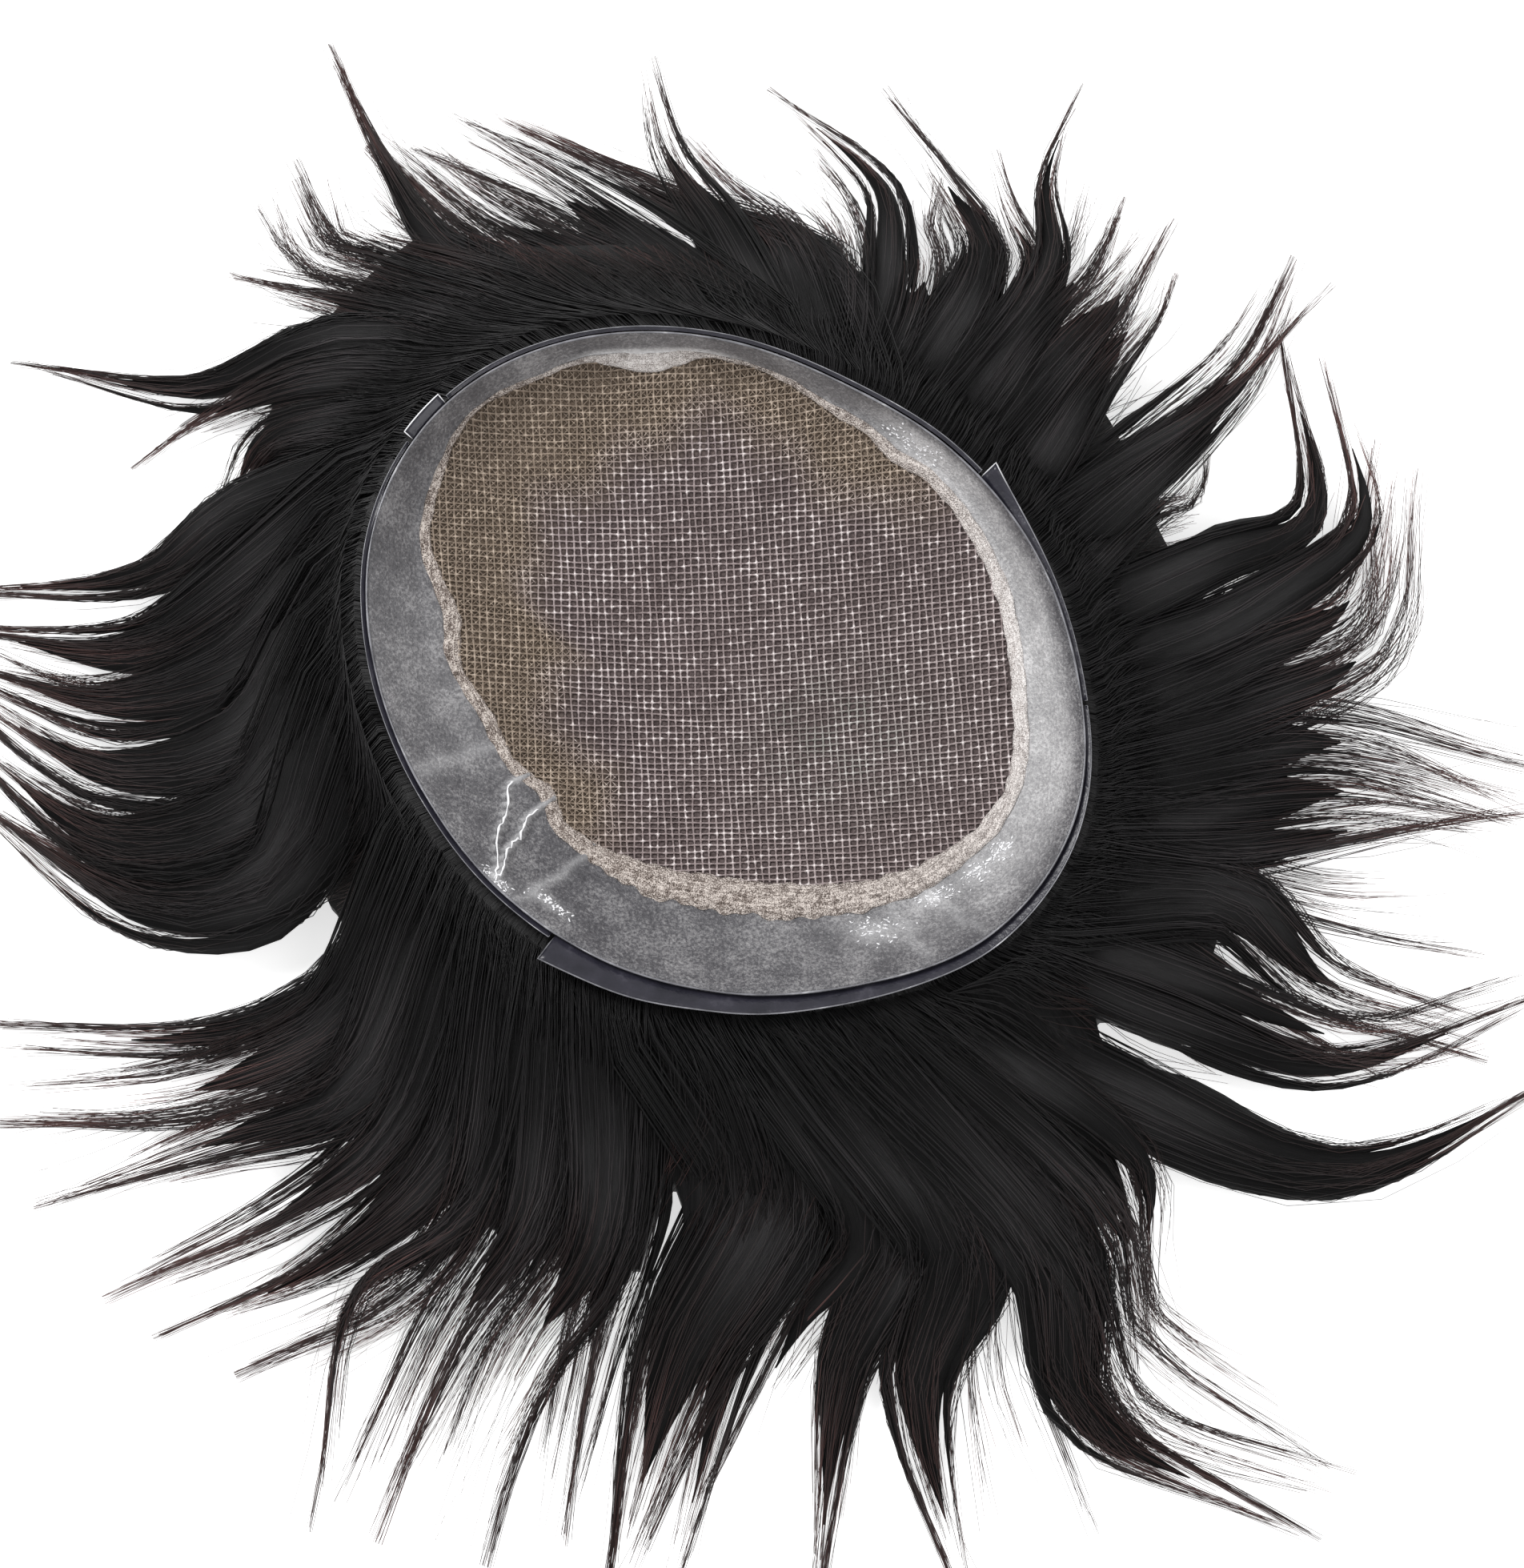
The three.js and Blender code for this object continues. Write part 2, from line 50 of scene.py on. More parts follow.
# Sizes of the base and the hair in millimetres, as in the part's source
BASE_LENGTH = 214
BASE_WIDTH = 176
FRONT_TURN = 135
RIM_HEIGHT = 51
RIM_LEAN = 2.7
SEAM_HEIGHT = 39
SEAM_LEAN = 4.3
NET_DROP = 3
CROWN_HEIGHT = 18
BOWL_POWER = 1.6
FILM_POWER = 1.25
TAPE_FLARE = 25
TAPE_PROUD = 10
FILM_WALL = 1
GAP = 0.3
CAD_STEPS_ROUND = 64
NORMAL_STEP = 0.02
FIRST_WAY = 0.002
HAIR_REACH = 150
HAIR_BEHIND_RIM = 3
LOCK_WIDTH = 40
LOCK_THICKNESS = 15
LOCK_ROOT_OUT = 8

# Sections of the base every 22.5 degrees: rim is a share of the oval's radius, seam and net are shares of the
# rim's radius, and mat and fill, how far the solid and the combed hair go, are shares of the hair's reach
SECTIONS = {
    "rim": (1.006, 1.02, 1.012, 0.983, 0.99, 1.004, 1.02, 1.018,
            0.999, 0.989, 0.989, 0.973, 0.941, 0.924, 0.972, 1.007),
    "seam": (0.876, 0.925, 0.962, 0.975, 0.985, 0.98, 0.965, 0.895,
             0.81, 0.757, 0.74, 0.7, 0.682, 0.73, 0.803, 0.858),
    "net": (0.817, 0.863, 0.908, 0.93, 0.95, 0.955, 0.935, 0.82,
            0.735, 0.68, 0.665, 0.615, 0.592, 0.63, 0.693, 0.787),
    "mat": (0.33, 0.28, 0.35, 0.32, 0.34, 0.43, 0.37, 0.3,
            0.3, 0.21, 0.38, 0.47, 0.45, 0.48, 0.38, 0.3),
    "fill": (0.46, 0.37, 0.49, 0.4, 0.42, 0.47, 0.45, 0.37,
             0.39, 0.27, 0.5, 0.57, 0.56, 0.62, 0.45, 0.4),
}

# Scallops of the net's edge: turn, depth as a share of the rim's radius, span in degrees
DIPS = ((54, 0.03, 6), (70, 0.02, 6), (104, 0.035, 6), (121, 0.03, 7),
        (143, 0.03, 6), (165, 0.06, 7), (188, 0.025, 7), (212, 0.045, 6))

# Tape strips: turns of their ends, how far they stand past the rim there as shares of TAPE_PROUD, and the
# power of the way along at which one passes into the other
TAPES = {
    "tape_back": (238.5, 354, 0.9, 0.1, 0.7),
    "tape_left": (-5.2, 37.8, 0.12, 0.6, 5),
    "tape_front": (38.6, 134.6, 0.16, 0.16, 1),
    "tape_step": (135.4, 142.6, 0.34, 0.34, 1),
    "tape_right": (143.4, 237.7, 0.12, 0.12, 1),
}

# The hair mass outside the rim: share of the mat's reach, share of the rim's height
MAT_PROFILE = ((0, 0.9), (0.16, 0.83), (0.42, 0.62), (0.72, 0.37), (1, 0.15))

QUARTERS = {
    "hair_front": (90, 174.375),
    "hair_left_side": (0, 90),
    "hair_right_side": (174.375, 264.375),
    "hair_back": (264.375, 360),
}

# Locks: turn of the root, then turn and reach of the bend, of the knee and of the tip, with the reaches as
# shares of HAIR_REACH, then the width as a share of LOCK_WIDTH and how much the tip fans out
LOCKS = (
    (2, 11, 0.4, 17, 0.67, 30, 0.75, 0.5, 0.15),
    (10, 17, 0.36, 19.5, 0.58, 33.5, 0.72, 0.5, 0.1),
    (18, 26, 0.31, 26.5, 0.39, 29.5, 0.44, 0.5, 0.5),
    (24, 32, 0.44, 35, 0.64, 39, 0.83, 0.7, 0.5),
    (28, 32.5, 0.49, 35, 0.68, 37, 0.84, 0.3, 0.3),
    (35, 44, 0.46, 45.5, 0.56, 47, 0.63, 0.6, 0.4),
    (43, 47, 0.48, 48.5, 0.59, 50, 0.72, 0.75, 0.4),
    (48, 52, 0.51, 53.5, 0.61, 54.5, 0.7, 0.7, 0.6),
    (52, 55, 0.51, 60, 0.68, 61.5, 0.86, 0.35, 0.05),
    (55, 56, 0.48, 61.5, 0.58, 65, 0.66, 0.4, 0.3),
    (58, 61, 0.46, 67.5, 0.57, 75.5, 0.7, 0.6, 0.4),
    (62, 66, 0.38, 70, 0.47, 71, 0.56, 0.5, 0.9),
    (66, 70.5, 0.36, 74, 0.53, 85, 0.65, 0.35, 0.05),
    (68, 80, 0.29, 95, 0.39, 108.5, 0.61, 0.8, 0.45),
    (70, 74.5, 0.33, 78.5, 0.44, 82.5, 0.52, 0.6, 0.9),
    (75, 85, 0.33, 90.5, 0.43, 94, 0.52, 0.7, 0.8),
    (80, 91.5, 0.34, 95.5, 0.5, 96.5, 0.69, 0.5, 0.3),
    (86, 100.5, 0.28, 108, 0.44, 114.5, 0.63, 0.8, 0.6),
    (92, 108, 0.27, 115, 0.44, 119.5, 0.64, 0.7, 0.6),
    (100, 116, 0.31, 120, 0.49, 121, 0.63, 0.6, 0.6),
    (101, 120.5, 0.35, 120.5, 0.6, 120, 0.85, 0.42, 0.05),
    (109, 124.5, 0.38, 127, 0.52, 125.5, 0.67, 0.5, 0.8),
    (115, 128.5, 0.39, 131, 0.52, 129, 0.65, 0.6, 0.8),
    (120, 132.5, 0.39, 135.5, 0.52, 136.5, 0.58, 0.5, 0.5),
    (124, 137, 0.35, 147.5, 0.49, 152, 0.81, 0.5, 0.05),
    (131, 142.5, 0.34, 148.5, 0.44, 155, 0.53, 0.5, 0.3),
    (139, 149, 0.31, 154.5, 0.34, 160, 0.37, 0.5, 0.3),
    (146, 158.5, 0.33, 165.5, 0.46, 170, 0.8, 0.5, 0.05),
    (152, 167.5, 0.28, 173.5, 0.47, 173.5, 0.84, 0.85, 0.15),
    (159, 175, 0.26, 179, 0.51, 175.5, 0.84, 0.8, 0.2),
    (166, 184, 0.27, 185.5, 0.55, 177.5, 0.84, 0.8, 0.2),
    (174, 192, 0.28, 192, 0.57, 181, 0.84, 0.85, 0.15),
    (182, 201.5, 0.3, 199, 0.55, 185.5, 0.84, 0.8, 0.2),
    (206, 216.5, 0.27, 214.5, 0.49, 204.5, 0.9, 0.45, 0.4),
    (211, 221.5, 0.36, 217, 0.6, 209.5, 0.93, 0.8, 0.6),
    (217, 227, 0.43, 222, 0.65, 217, 0.95, 0.75, 0.45),
    (223, 233, 0.43, 229.5, 0.69, 225, 0.96, 0.6, 0.4),
    (229, 239.5, 0.41, 235.5, 0.67, 229.5, 0.95, 0.7, 0.2),
    (233, 243.5, 0.45, 241.5, 0.67, 235.5, 0.91, 0.6, 0.6),
    (237, 244.5, 0.49, 238.5, 0.72, 243.5, 1.06, 0.32, 0.3),
    (241, 250, 0.46, 247, 0.67, 247, 1.03, 0.8, 0.7),
    (249, 256.5, 0.45, 253.5, 0.68, 252.5, 1, 0.85, 0.7),
    (256, 259.5, 0.37, 258, 0.61, 258.5, 0.94, 0.6, 0.6),
    (264, 275, 0.31, 266.5, 0.62, 263, 1.07, 1.15, 0.25),
    (270, 279, 0.32, 272, 0.55, 266.5, 1.04, 0.5, 0.15),
    (274, 284, 0.42, 277, 0.55, 270, 0.83, 0.55, 0.35),
    (277, 288.5, 0.41, 280, 0.63, 275.5, 1.06, 0.8, 0.1),
    (280, 289.5, 0.43, 283, 0.58, 279, 0.86, 0.3, 0.9),
    (284, 292.5, 0.48, 286, 0.68, 285, 1.09, 1, 0.12),
    (287, 294, 0.52, 291, 0.68, 290, 0.98, 0.4, 0.9),
    (289, 300.5, 0.55, 296.5, 0.82, 303.5, 1.16, 1, 0.15),
    (292, 300.5, 0.6, 299, 0.85, 307, 1.11, 0.4, 0.7),
    (296, 305.5, 0.57, 303.5, 0.7, 308.5, 1.04, 0.5, 0.9),
    (300, 311, 0.48, 307, 0.61, 303, 0.77, 0.5, 0.4),
    (301.5, 308.5, 0.41, 307, 0.55, 303.5, 0.72, 0.6, 0.3),
    (303, 313.5, 0.34, 322, 0.73, 336.5, 1.01, 0.72, 0),
    (317, 324, 0.33, 328.5, 0.6, 340, 0.91, 0.42, 0.2),
    (321, 329, 0.38, 332.5, 0.67, 338, 0.88, 0.4, 0.7),
    (324, 330.5, 0.31, 329.5, 0.49, 330.5, 0.66, 0.5, 0.5),
    (327, 338.5, 0.33, 335, 0.53, 336.5, 0.82, 0.75, 0.5),
    (333, 340, 0.3, 342, 0.5, 344.5, 0.76, 0.45, 1),
    (338, 343.5, 0.29, 348.5, 0.52, 353.5, 0.84, 0.5, 0.7),
    (342, 349, 0.3, 352.5, 0.55, 353, 0.83, 0.75, 0.7),
    (347, 355, 0.33, 357, 0.59, 354.5, 0.87, 0.8, 0.8),
    (351, 360, 0.35, 366.5, 0.62, 379.5, 0.74, 0.8, 0.75),
    (356, 366, 0.36, 370.5, 0.6, 382, 0.75, 0.75, 0.6),
)

# The middle line of a lock: way along it (0 root, 1 bend, 2 knee, 3 tip) and share of the rim's height
LOCK_LINE = ((0, 0.72), (1, 0.29), (2, 0.11), (3, 0.03))

# White gaps that reach deep into the hair: turn, reach where one starts as a share of HAIR_REACH, half width
# in degrees
HAIR_GAPS = ((209, 0.22, 6.5), (319, 0.2, 3.5), (236, 0.33, 2.5), (264, 0.3, 2.2), (283.5, 0.33, 2.2),
             (294, 0.55, 3), (27, 0.36, 7), (187, 0.47, 3), (152, 0.34, 5), (340, 0.5, 4), (100, 0.25, 22))

# The photograph's view, in its own pixels and in degrees and millimetres
PHOTO_WIDTH = 1904
PHOTO_HEIGHT = 1959
RIM_CENTRE_X = 905
RIM_CENTRE_Y = 835
PIXEL_MM = 0.22
CAMERA_DISTANCE = 1100
CAMERA_ELEVATION = 75


def around(turn, column):
    """A column of the sections at any turns, as a smooth closed curve through its values."""
    values = np.array(SECTIONS[column])
    count = len(values)
    place = np.mod(turn, 360) * count / 360
    row = np.floor(place).astype(int)
    t = place - row
    a, b, c, d = (values[(row + k) % count] for k in (-1, 0, 1, 2))
    return b + 0.5 * t * (c - a + t * (2 * a - 5 * b + 4 * c - d + t * (3 * (b - c) + d - a)))


def rim_radius(turn):
    angle = np.radians(turn - FRONT_TURN)
    oval = 1 / np.hypot(np.cos(angle) / (BASE_LENGTH / 2), np.sin(angle) / (BASE_WIDTH / 2))
    return oval * around(turn, "rim")


def rim_height(turn):
    return RIM_HEIGHT + RIM_LEAN * np.sin(np.radians(turn))


def seam_height(turn):
    return SEAM_HEIGHT + SEAM_LEAN * np.sin(np.radians(turn))


def dip(turn):
    """How far the scallops pull the net's edge in, as a share of the rim's radius."""
    return sum(deep * near(turn, at, span) for at, deep, span in DIPS)


def net_radius(turn):
    return rim_radius(turn) * (around(turn, "net") - dip(turn))


def seam_radius(turn):
    return rim_radius(turn) * (around(turn, "seam") - dip(turn) / 2)


def film_width(turn):
    return np.hypot(rim_radius(turn) - seam_radius(turn), rim_height(turn) - seam_height(turn))


def polar(turn, radius, height):
    angle = np.radians(turn)
    height = np.broadcast_to(height, np.broadcast(angle, radius).shape)
    return np.stack([radius * np.cos(angle), radius * np.sin(angle), height], -1)


def mix(a, b, t):
    return a + (b - a) * t


def clamp(value):
    return np.clip(value, 0, 1)


def turns_apart(turn, at):
    return np.abs(np.mod(turn - at + 180, 360) - 180)


def near(turn, at, half, power=2):
    """1 at a turn, fading over half degrees: as a bell, or with a flat top at the power of 4."""
    return np.exp(-((turns_apart(turn, at) / half) ** power))


def base_point(turn, way):
    """Points on the inner face: way is 0 at the crown, 1 at the net's edge, 2 at the seam's, 3 at the rim."""
    turn, way = np.broadcast_arrays(np.asarray(turn, float), np.asarray(way, float))
    net, seam, rim = net_radius(turn), seam_radius(turn), rim_radius(turn)
    net_edge = seam_height(turn) - NET_DROP
    bowl, band, film = (clamp(way - k) for k in range(3))
    past = np.maximum(way - 3, 0) * film_width(turn)
    flare = math.radians(TAPE_FLARE)
    radius = net * bowl + (seam - net) * band + (rim - seam) * film + past * math.cos(flare)
    height = mix(CROWN_HEIGHT, net_edge, bowl**BOWL_POWER) + NET_DROP * band
    height = height + (rim_height(turn) - seam_height(turn)) * film**FILM_POWER
    return polar(turn, radius, height + past * math.sin(flare))


def base_normal(turn, way):
    out = base_point(turn, way + NORMAL_STEP) - base_point(turn, np.maximum(way - NORMAL_STEP, FIRST_WAY / 2))
    along = base_point(turn + 1, way) - base_point(turn - 1, way)
    normal = np.cross(out, along)
    return normal / np.linalg.norm(normal, axis=-1, keepdims=True)


def below(turn, way, depth):
    return base_point(turn, way) - base_normal(turn, way) * np.asarray(depth)[..., None]


def place_of_base():
    """Where the base's centre stands in the part's frame, in millimetres, from the film's box."""
    turns = np.arange(CAD_STEPS_ROUND) * 360 / CAD_STEPS_ROUND
    outline = below(turns, np.full_like(turns, 3), FILM_WALL)[:, :2]
    low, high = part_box("pu_perimeter")
    middle = np.array([low.x + high.x, low.y + high.y]) / 2 / MM
    return np.append(middle - (outline.min(0) + outline.max(0)) / 2, 0)


BASE_PLACE = place_of_base()


def make_mesh(name, points, quads, triangles=None, uv=None, values=None):
    """An object from arrays: points in millimetres about the base's centre, faces, UVs and named floats."""
    mesh = bpy.data.meshes.new(name)
    points = (np.asarray(points, float).reshape(-1, 3) + BASE_PLACE) * MM
    quads = np.asarray(quads, np.int32).reshape(-1, 4)
    triangles = np.asarray([] if triangles is None else triangles, np.int32).reshape(-1, 3)
    loops = np.concatenate([quads.ravel(), triangles.ravel()])
    totals = np.concatenate([np.full(len(quads), 4), np.full(len(triangles), 3)]).astype(np.int32)
    mesh.vertices.add(len(points))
    mesh.vertices.foreach_set("co", points.astype(np.float32).ravel())
    mesh.loops.add(len(loops))
    mesh.loops.foreach_set("vertex_index", loops)
    mesh.polygons.add(len(totals))
    mesh.polygons.foreach_set("loop_start", np.concatenate([[0], np.cumsum(totals)[:-1]]).astype(np.int32))
    mesh.polygons.foreach_set("loop_total", totals)
    mesh.polygons.foreach_set("use_smooth", np.ones(len(totals), bool))
    for layer, coordinates in (uv or {}).items():
        data = mesh.uv_layers.new(name=layer).data
        data.foreach_set("uv", np.asarray(coordinates, np.float32).reshape(-1, 2)[loops].ravel())
    for label, numbers in (values or {}).items():
        data = mesh.attributes.new(label, "FLOAT", "POINT").data
        data.foreach_set("value", np.asarray(numbers, np.float32).ravel())
    mesh.update(calc_edges=True)
    mesh.validate()
    piece = bpy.data.objects.new(name, mesh)
    bpy.context.scene.collection.objects.link(piece)
    return piece


def grid_quads(rows, columns, wrap_rows=False, wrap_columns=False):
    """Quads between the points of a grid, whose rows and columns may close on themselves."""
    r = np.arange(rows if wrap_rows else rows - 1)[:, None]
    c = np.arange(columns if wrap_columns else columns - 1)[None, :]
    r2, c2 = (r + 1) % rows, (c + 1) % columns
    corners = [r * columns + c, r * columns + c2, r2 * columns + c2, r2 * columns + c]
    return np.stack(corners, -1).reshape(-1, 4)


def unit(vectors):
    return vectors / np.maximum(np.linalg.norm(vectors, axis=-1, keepdims=True), 1e-9)


def tube_arrays(paths, radii, sides, closed=False):
    """Points, quads and end triangles of round tubes: paths (tube, step, xyz) and radii (tube, step)."""
    count, steps = radii.shape
    if closed:
        tangents = unit(np.roll(paths, -1, 1) - np.roll(paths, 1, 1))
    else:
        tangents = unit(np.gradient(paths, axis=1))
    side = unit(np.cross([0, 0, 1.0], tangents))
    up = np.cross(tangents, side)
    angles = math.pi / 2 + 2 * math.pi * np.arange(sides) / sides
    ring = side[:, :, None] * np.cos(angles)[:, None] + up[:, :, None] * np.sin(angles)[:, None]
    points = paths[:, :, None] + ring * radii[:, :, None, None]
    one = grid_quads(steps, sides, wrap_rows=closed, wrap_columns=True)
    first = np.arange(count)[:, None, None] * steps * sides
    quads = (one[None] + first).reshape(-1, 4)
    triangles = np.zeros((0, 3), np.int32)
    if not closed:
        fan = np.array([[0, k + 1, k] for k in range(1, sides - 1)])
        last = (steps - 1) * sides + fan[:, ::-1]
        triangles = (np.concatenate([fan, last])[None] + first).reshape(-1, 3)
    return points.reshape(-1, 3), quads, triangles


# Materials

def new_material(name, roughness, specular=0.5):
    material = bpy.data.materials.new(name)
    material.use_nodes = True
    shader = material.node_tree.nodes["Principled BSDF"]
    shader.inputs["Roughness"].default_value = roughness
    shader.inputs["Specular IOR Level"].default_value = specular
    return material, material.node_tree, shader


def node(tree, kind, **inputs):
    """A new node; keyword values go to the inputs of those names, links where the value is a socket."""
    made = tree.nodes.new(kind)
    for label, value in inputs.items():
        socket = made.inputs[label.replace("_", " ")]
        if isinstance(value, bpy.types.NodeSocket):
            tree.links.new(value, socket)
        else:
            socket.default_value = value
    return made


def attribute(tree, label):
    made = tree.nodes.new("ShaderNodeAttribute")
    made.attribute_name = label
    return made.outputs["Fac"]


def uv_point(tree, layer, scale):
    """The coordinates of a UV map, stretched."""
    source = tree.nodes.new("ShaderNodeUVMap")
    source.uv_map = layer
    return node(tree, "ShaderNodeMapping", Vector=source.outputs["UV"], Scale=scale).outputs["Vector"]


def object_point(tree, scale):
    source = tree.nodes.new("ShaderNodeTexCoord").outputs["Object"]
    return node(tree, "ShaderNodeMapping", Vector=source, Scale=(scale,) * 3).outputs["Vector"]


def noise(tree, point, detail, roughness):
    made = node(tree, "ShaderNodeTexNoise", Vector=point, Scale=1.0, Detail=detail, Roughness=roughness)
    return made.outputs["Fac"]


def ramp(tree, value, stops):
    """A colour ramp through (place, colour) stops."""
    made = node(tree, "ShaderNodeValToRGB", Fac=value)
    elements = made.color_ramp.elements
    for index, (place, colour) in enumerate(stops):
        element = elements[index] if index < 2 else elements.new(place)
        element.position = place
        element.color = (*colour, 1)
    return made.outputs["Color"]


def blend_colours(tree, share, first, second, mode="MIX"):
    made = tree.nodes.new("ShaderNodeMix")
    made.data_type = "RGBA"
    made.blend_type = mode
    for socket, value in ((made.inputs[0], share), (made.inputs[6], first), (made.inputs[7], second)):
        if isinstance(value, bpy.types.NodeSocket):
            tree.links.new(value, socket)
        elif socket.type == "RGBA":
            socket.default_value = (*value, 1)
        else:
            socket.default_value = value
    return made.outputs[2]


def math_node(tree, operation, *values):
    made = tree.nodes.new("ShaderNodeMath")
    made.operation = operation
    for socket, value in zip(made.inputs, values):
        if isinstance(value, bpy.types.NodeSocket):
            tree.links.new(value, socket)
        else:
            socket.default_value = value
    return made.outputs[0]


def finish(tree, shader, colour, height=None, distance=None):
    """Links the colour to the shader, and a bump where there is a height."""
    tree.links.new(colour, shader.inputs["Base Color"])
    if height is not None:
        bump = node(tree, "ShaderNodeBump", Height=height, Distance=distance, Strength=1.0)
        tree.links.new(bump.outputs["Normal"], shader.inputs["Normal"])


def strand_material():
    """Near-black hair: darker at the root, a little burgundy brown where it thins out at the tip."""
    material, tree, shader = new_material("hair_strands", 0.5, 0.3)
    split = tree.nodes.new("ShaderNodeSeparateXYZ")
    tree.links.new(uv_point(tree, "Strand", (1, 1, 1)), split.inputs[0])
    along = ramp(tree, split.outputs["X"], [(0.0, (0.0065, 0.0062, 0.0068)), (0.6, (0.009, 0.0082, 0.0086)),
                                            (0.85, (0.021, 0.0132, 0.0125)), (1.0, (0.075, 0.038, 0.034))])
    # The second coordinate holds each strand's tone with the painted sheen and painted shade of its lock
    shade = ramp(tree, split.outputs["Y"], [(0.0, (0.22, 0.22, 0.23)), (0.35, (1.0, 1.0, 1.02)),
                                            (0.6, (2.1, 2.05, 2.1)), (1.0, (5.0, 4.8, 4.8))])
    finish(tree, shader, blend_colours(tree, 1.0, along, shade, "MULTIPLY"))
    return material


def core_material():
    """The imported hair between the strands: black, combed into fine lines along its length."""
    material, tree, shader = new_material("hair_core", 0.6, 0.2)
    lines = noise(tree, uv_point(tree, "Strand", (5, 90, 1)), 4.0, 0.6)
    # The light attribute adds the locks' painted sheen and shade, and painted sheen and shade along the mat's
    # ridges
    lit = math_node(tree, "ADD", lines, attribute(tree, "light"))
    colour = ramp(tree, lit, [(0.3, (0.002, 0.002, 0.0023)), (0.6, (0.009, 0.0085, 0.009)),
                              (0.95, (0.03, 0.029, 0.03))])
    finish(tree, shader, colour, lines, 0.0015)
    return material


def thread_material():
    """Net thread: mauve brown, tan towards the front's edge, with painted glints where two threads cross."""
    material, tree, shader = new_material("net_thread", 0.5, 0.5)
    tone_and_glint = attribute(tree, "tone_and_glint")
    mauve = ramp(tree, tone_and_glint, [(0.0, (0.155, 0.118, 0.115)), (0.4, (0.31, 0.253, 0.25)),
                               (0.75, (0.47, 0.41, 0.405)), (1.0, (0.85, 0.79, 0.78))])
    tan = ramp(tree, tone_and_glint, [(0.0, (0.15, 0.112, 0.083)), (0.45, (0.255, 0.198, 0.15)),
                             (1.0, (0.48, 0.395, 0.32))])
    colour = blend_colours(tree, attribute(tree, "tan"), mauve, tan)
    finish(tree, shader, blend_colours(tree, attribute(tree, "green"), colour, (0.2, 0.23, 0.2)))
    return material


def backing_material():
    """The knots and hair roots seen through the net's holes: dark in the middle, tan lace at the front."""
    material, tree, shader = new_material("net_backing", 0.8, 0.2)
    spots = noise(tree, object_point(tree, 700), 3.0, 0.6)
    dark = ramp(tree, spots, [(0.35, (0.055, 0.04, 0.039)), (0.7, (0.13, 0.102, 0.1))])
    tan = ramp(tree, spots, [(0.35, (0.09, 0.066, 0.048)), (0.7, (0.19, 0.145, 0.11))])
    finish(tree, shader, blend_colours(tree, attribute(tree, "tan"), dark, tan), spots, 0.0006)
    return material


def seam_material():
    """Beige lace in clear glue: pale threads round dark pinholes, and a wet gloss."""
    material, tree, shader = new_material("seam_lace", 0.38, 0.5)
    cells = node(tree, "ShaderNodeTexVoronoi", Vector=object_point(tree, 500), Randomness=0.65)
    grain = noise(tree, object_point(tree, 420), 4.0, 0.7)
    lace = math_node(tree, "ADD", math_node(tree, "MULTIPLY", cells.outputs["Distance"], 0.8), grain)
    beige = ramp(tree, lace, [(0.55, (0.05, 0.035, 0.028)), (0.7, (0.14, 0.108, 0.09)),
                              (0.86, (0.27, 0.22, 0.195)), (1.02, (0.66, 0.59, 0.54))])
    white = ramp(tree, lace, [(0.5, (0.3, 0.255, 0.235)), (0.7, (0.54, 0.49, 0.47)),
                              (1.0, (0.86, 0.82, 0.8))])
    finish(tree, shader, blend_colours(tree, attribute(tree, "pale"), beige, white), lace, 0.0007)
    return material


def film_material():
    """Frosted clear film over black hair: grey, finely speckled, paler where milky film and painted
    reflection are marked, near-white at painted highlights.
    """
    material, tree, shader = new_material("film", 0.36, 0.4)
    speckle = math_node(tree, "MULTIPLY", noise(tree, object_point(tree, 1100), 2.0, 0.8), 0.75)
    cloud = math_node(tree, "MULTIPLY", noise(tree, object_point(tree, 75), 5.0, 0.65), 0.6)
    frost_and_reflection = math_node(tree, "ADD", cloud, speckle)
    grey = ramp(tree, frost_and_reflection, [(0.4, (0.022, 0.022, 0.026)), (0.65, (0.075, 0.073, 0.08)),
                              (0.92, (0.27, 0.265, 0.27))])
    white = ramp(tree, frost_and_reflection, [(0.4, (0.22, 0.22, 0.23)), (0.68, (0.42, 0.415, 0.42)),
                               (0.95, (0.75, 0.74, 0.75))])
    # Paler where the film is milky and where reflection is painted
    colour = blend_colours(tree, attribute(tree, "frost_and_reflection"), grey, white)
    # Near-white painted highlight along the folds, round the glue glints and in the top crescent
    colour = blend_colours(tree, attribute(tree, "painted_highlight"), colour, (0.9, 0.9, 0.91))
    finish(tree, shader, colour, frost_and_reflection, 0.0006)
    return material


def tape_material():
    """Clear tape over dark hair: smoky, glossy."""
    material, tree, shader = new_material("tape", 0.3, 0.4)
    cloud = noise(tree, object_point(tree, 120), 4.0, 0.65)
    smoke = ramp(tree, cloud, [(0.3, (0.011, 0.011, 0.017)), (0.6, (0.023, 0.022, 0.032)),
                               (0.85, (0.07, 0.068, 0.085))])
    finish(tree, shader, smoke, cloud, 0.0006)
    return material


def edge_material():
    """The cut edge of film and tape, painted pale in streaks as a highlight, and near-white where a painted
    glint is marked.
    """
    material, tree, shader = new_material("film_edge", 0.25, 0.6)
    streaks = noise(tree, object_point(tree, 150), 3.0, 0.6)
    pale = ramp(tree, streaks, [(0.3, (0.08, 0.08, 0.09)), (0.6, (0.21, 0.21, 0.23)),
                                (0.8, (0.6, 0.6, 0.61))])
    finish(tree, shader, blend_colours(tree, attribute(tree, "bright"), pale, (0.85, 0.85, 0.87)))
    return material


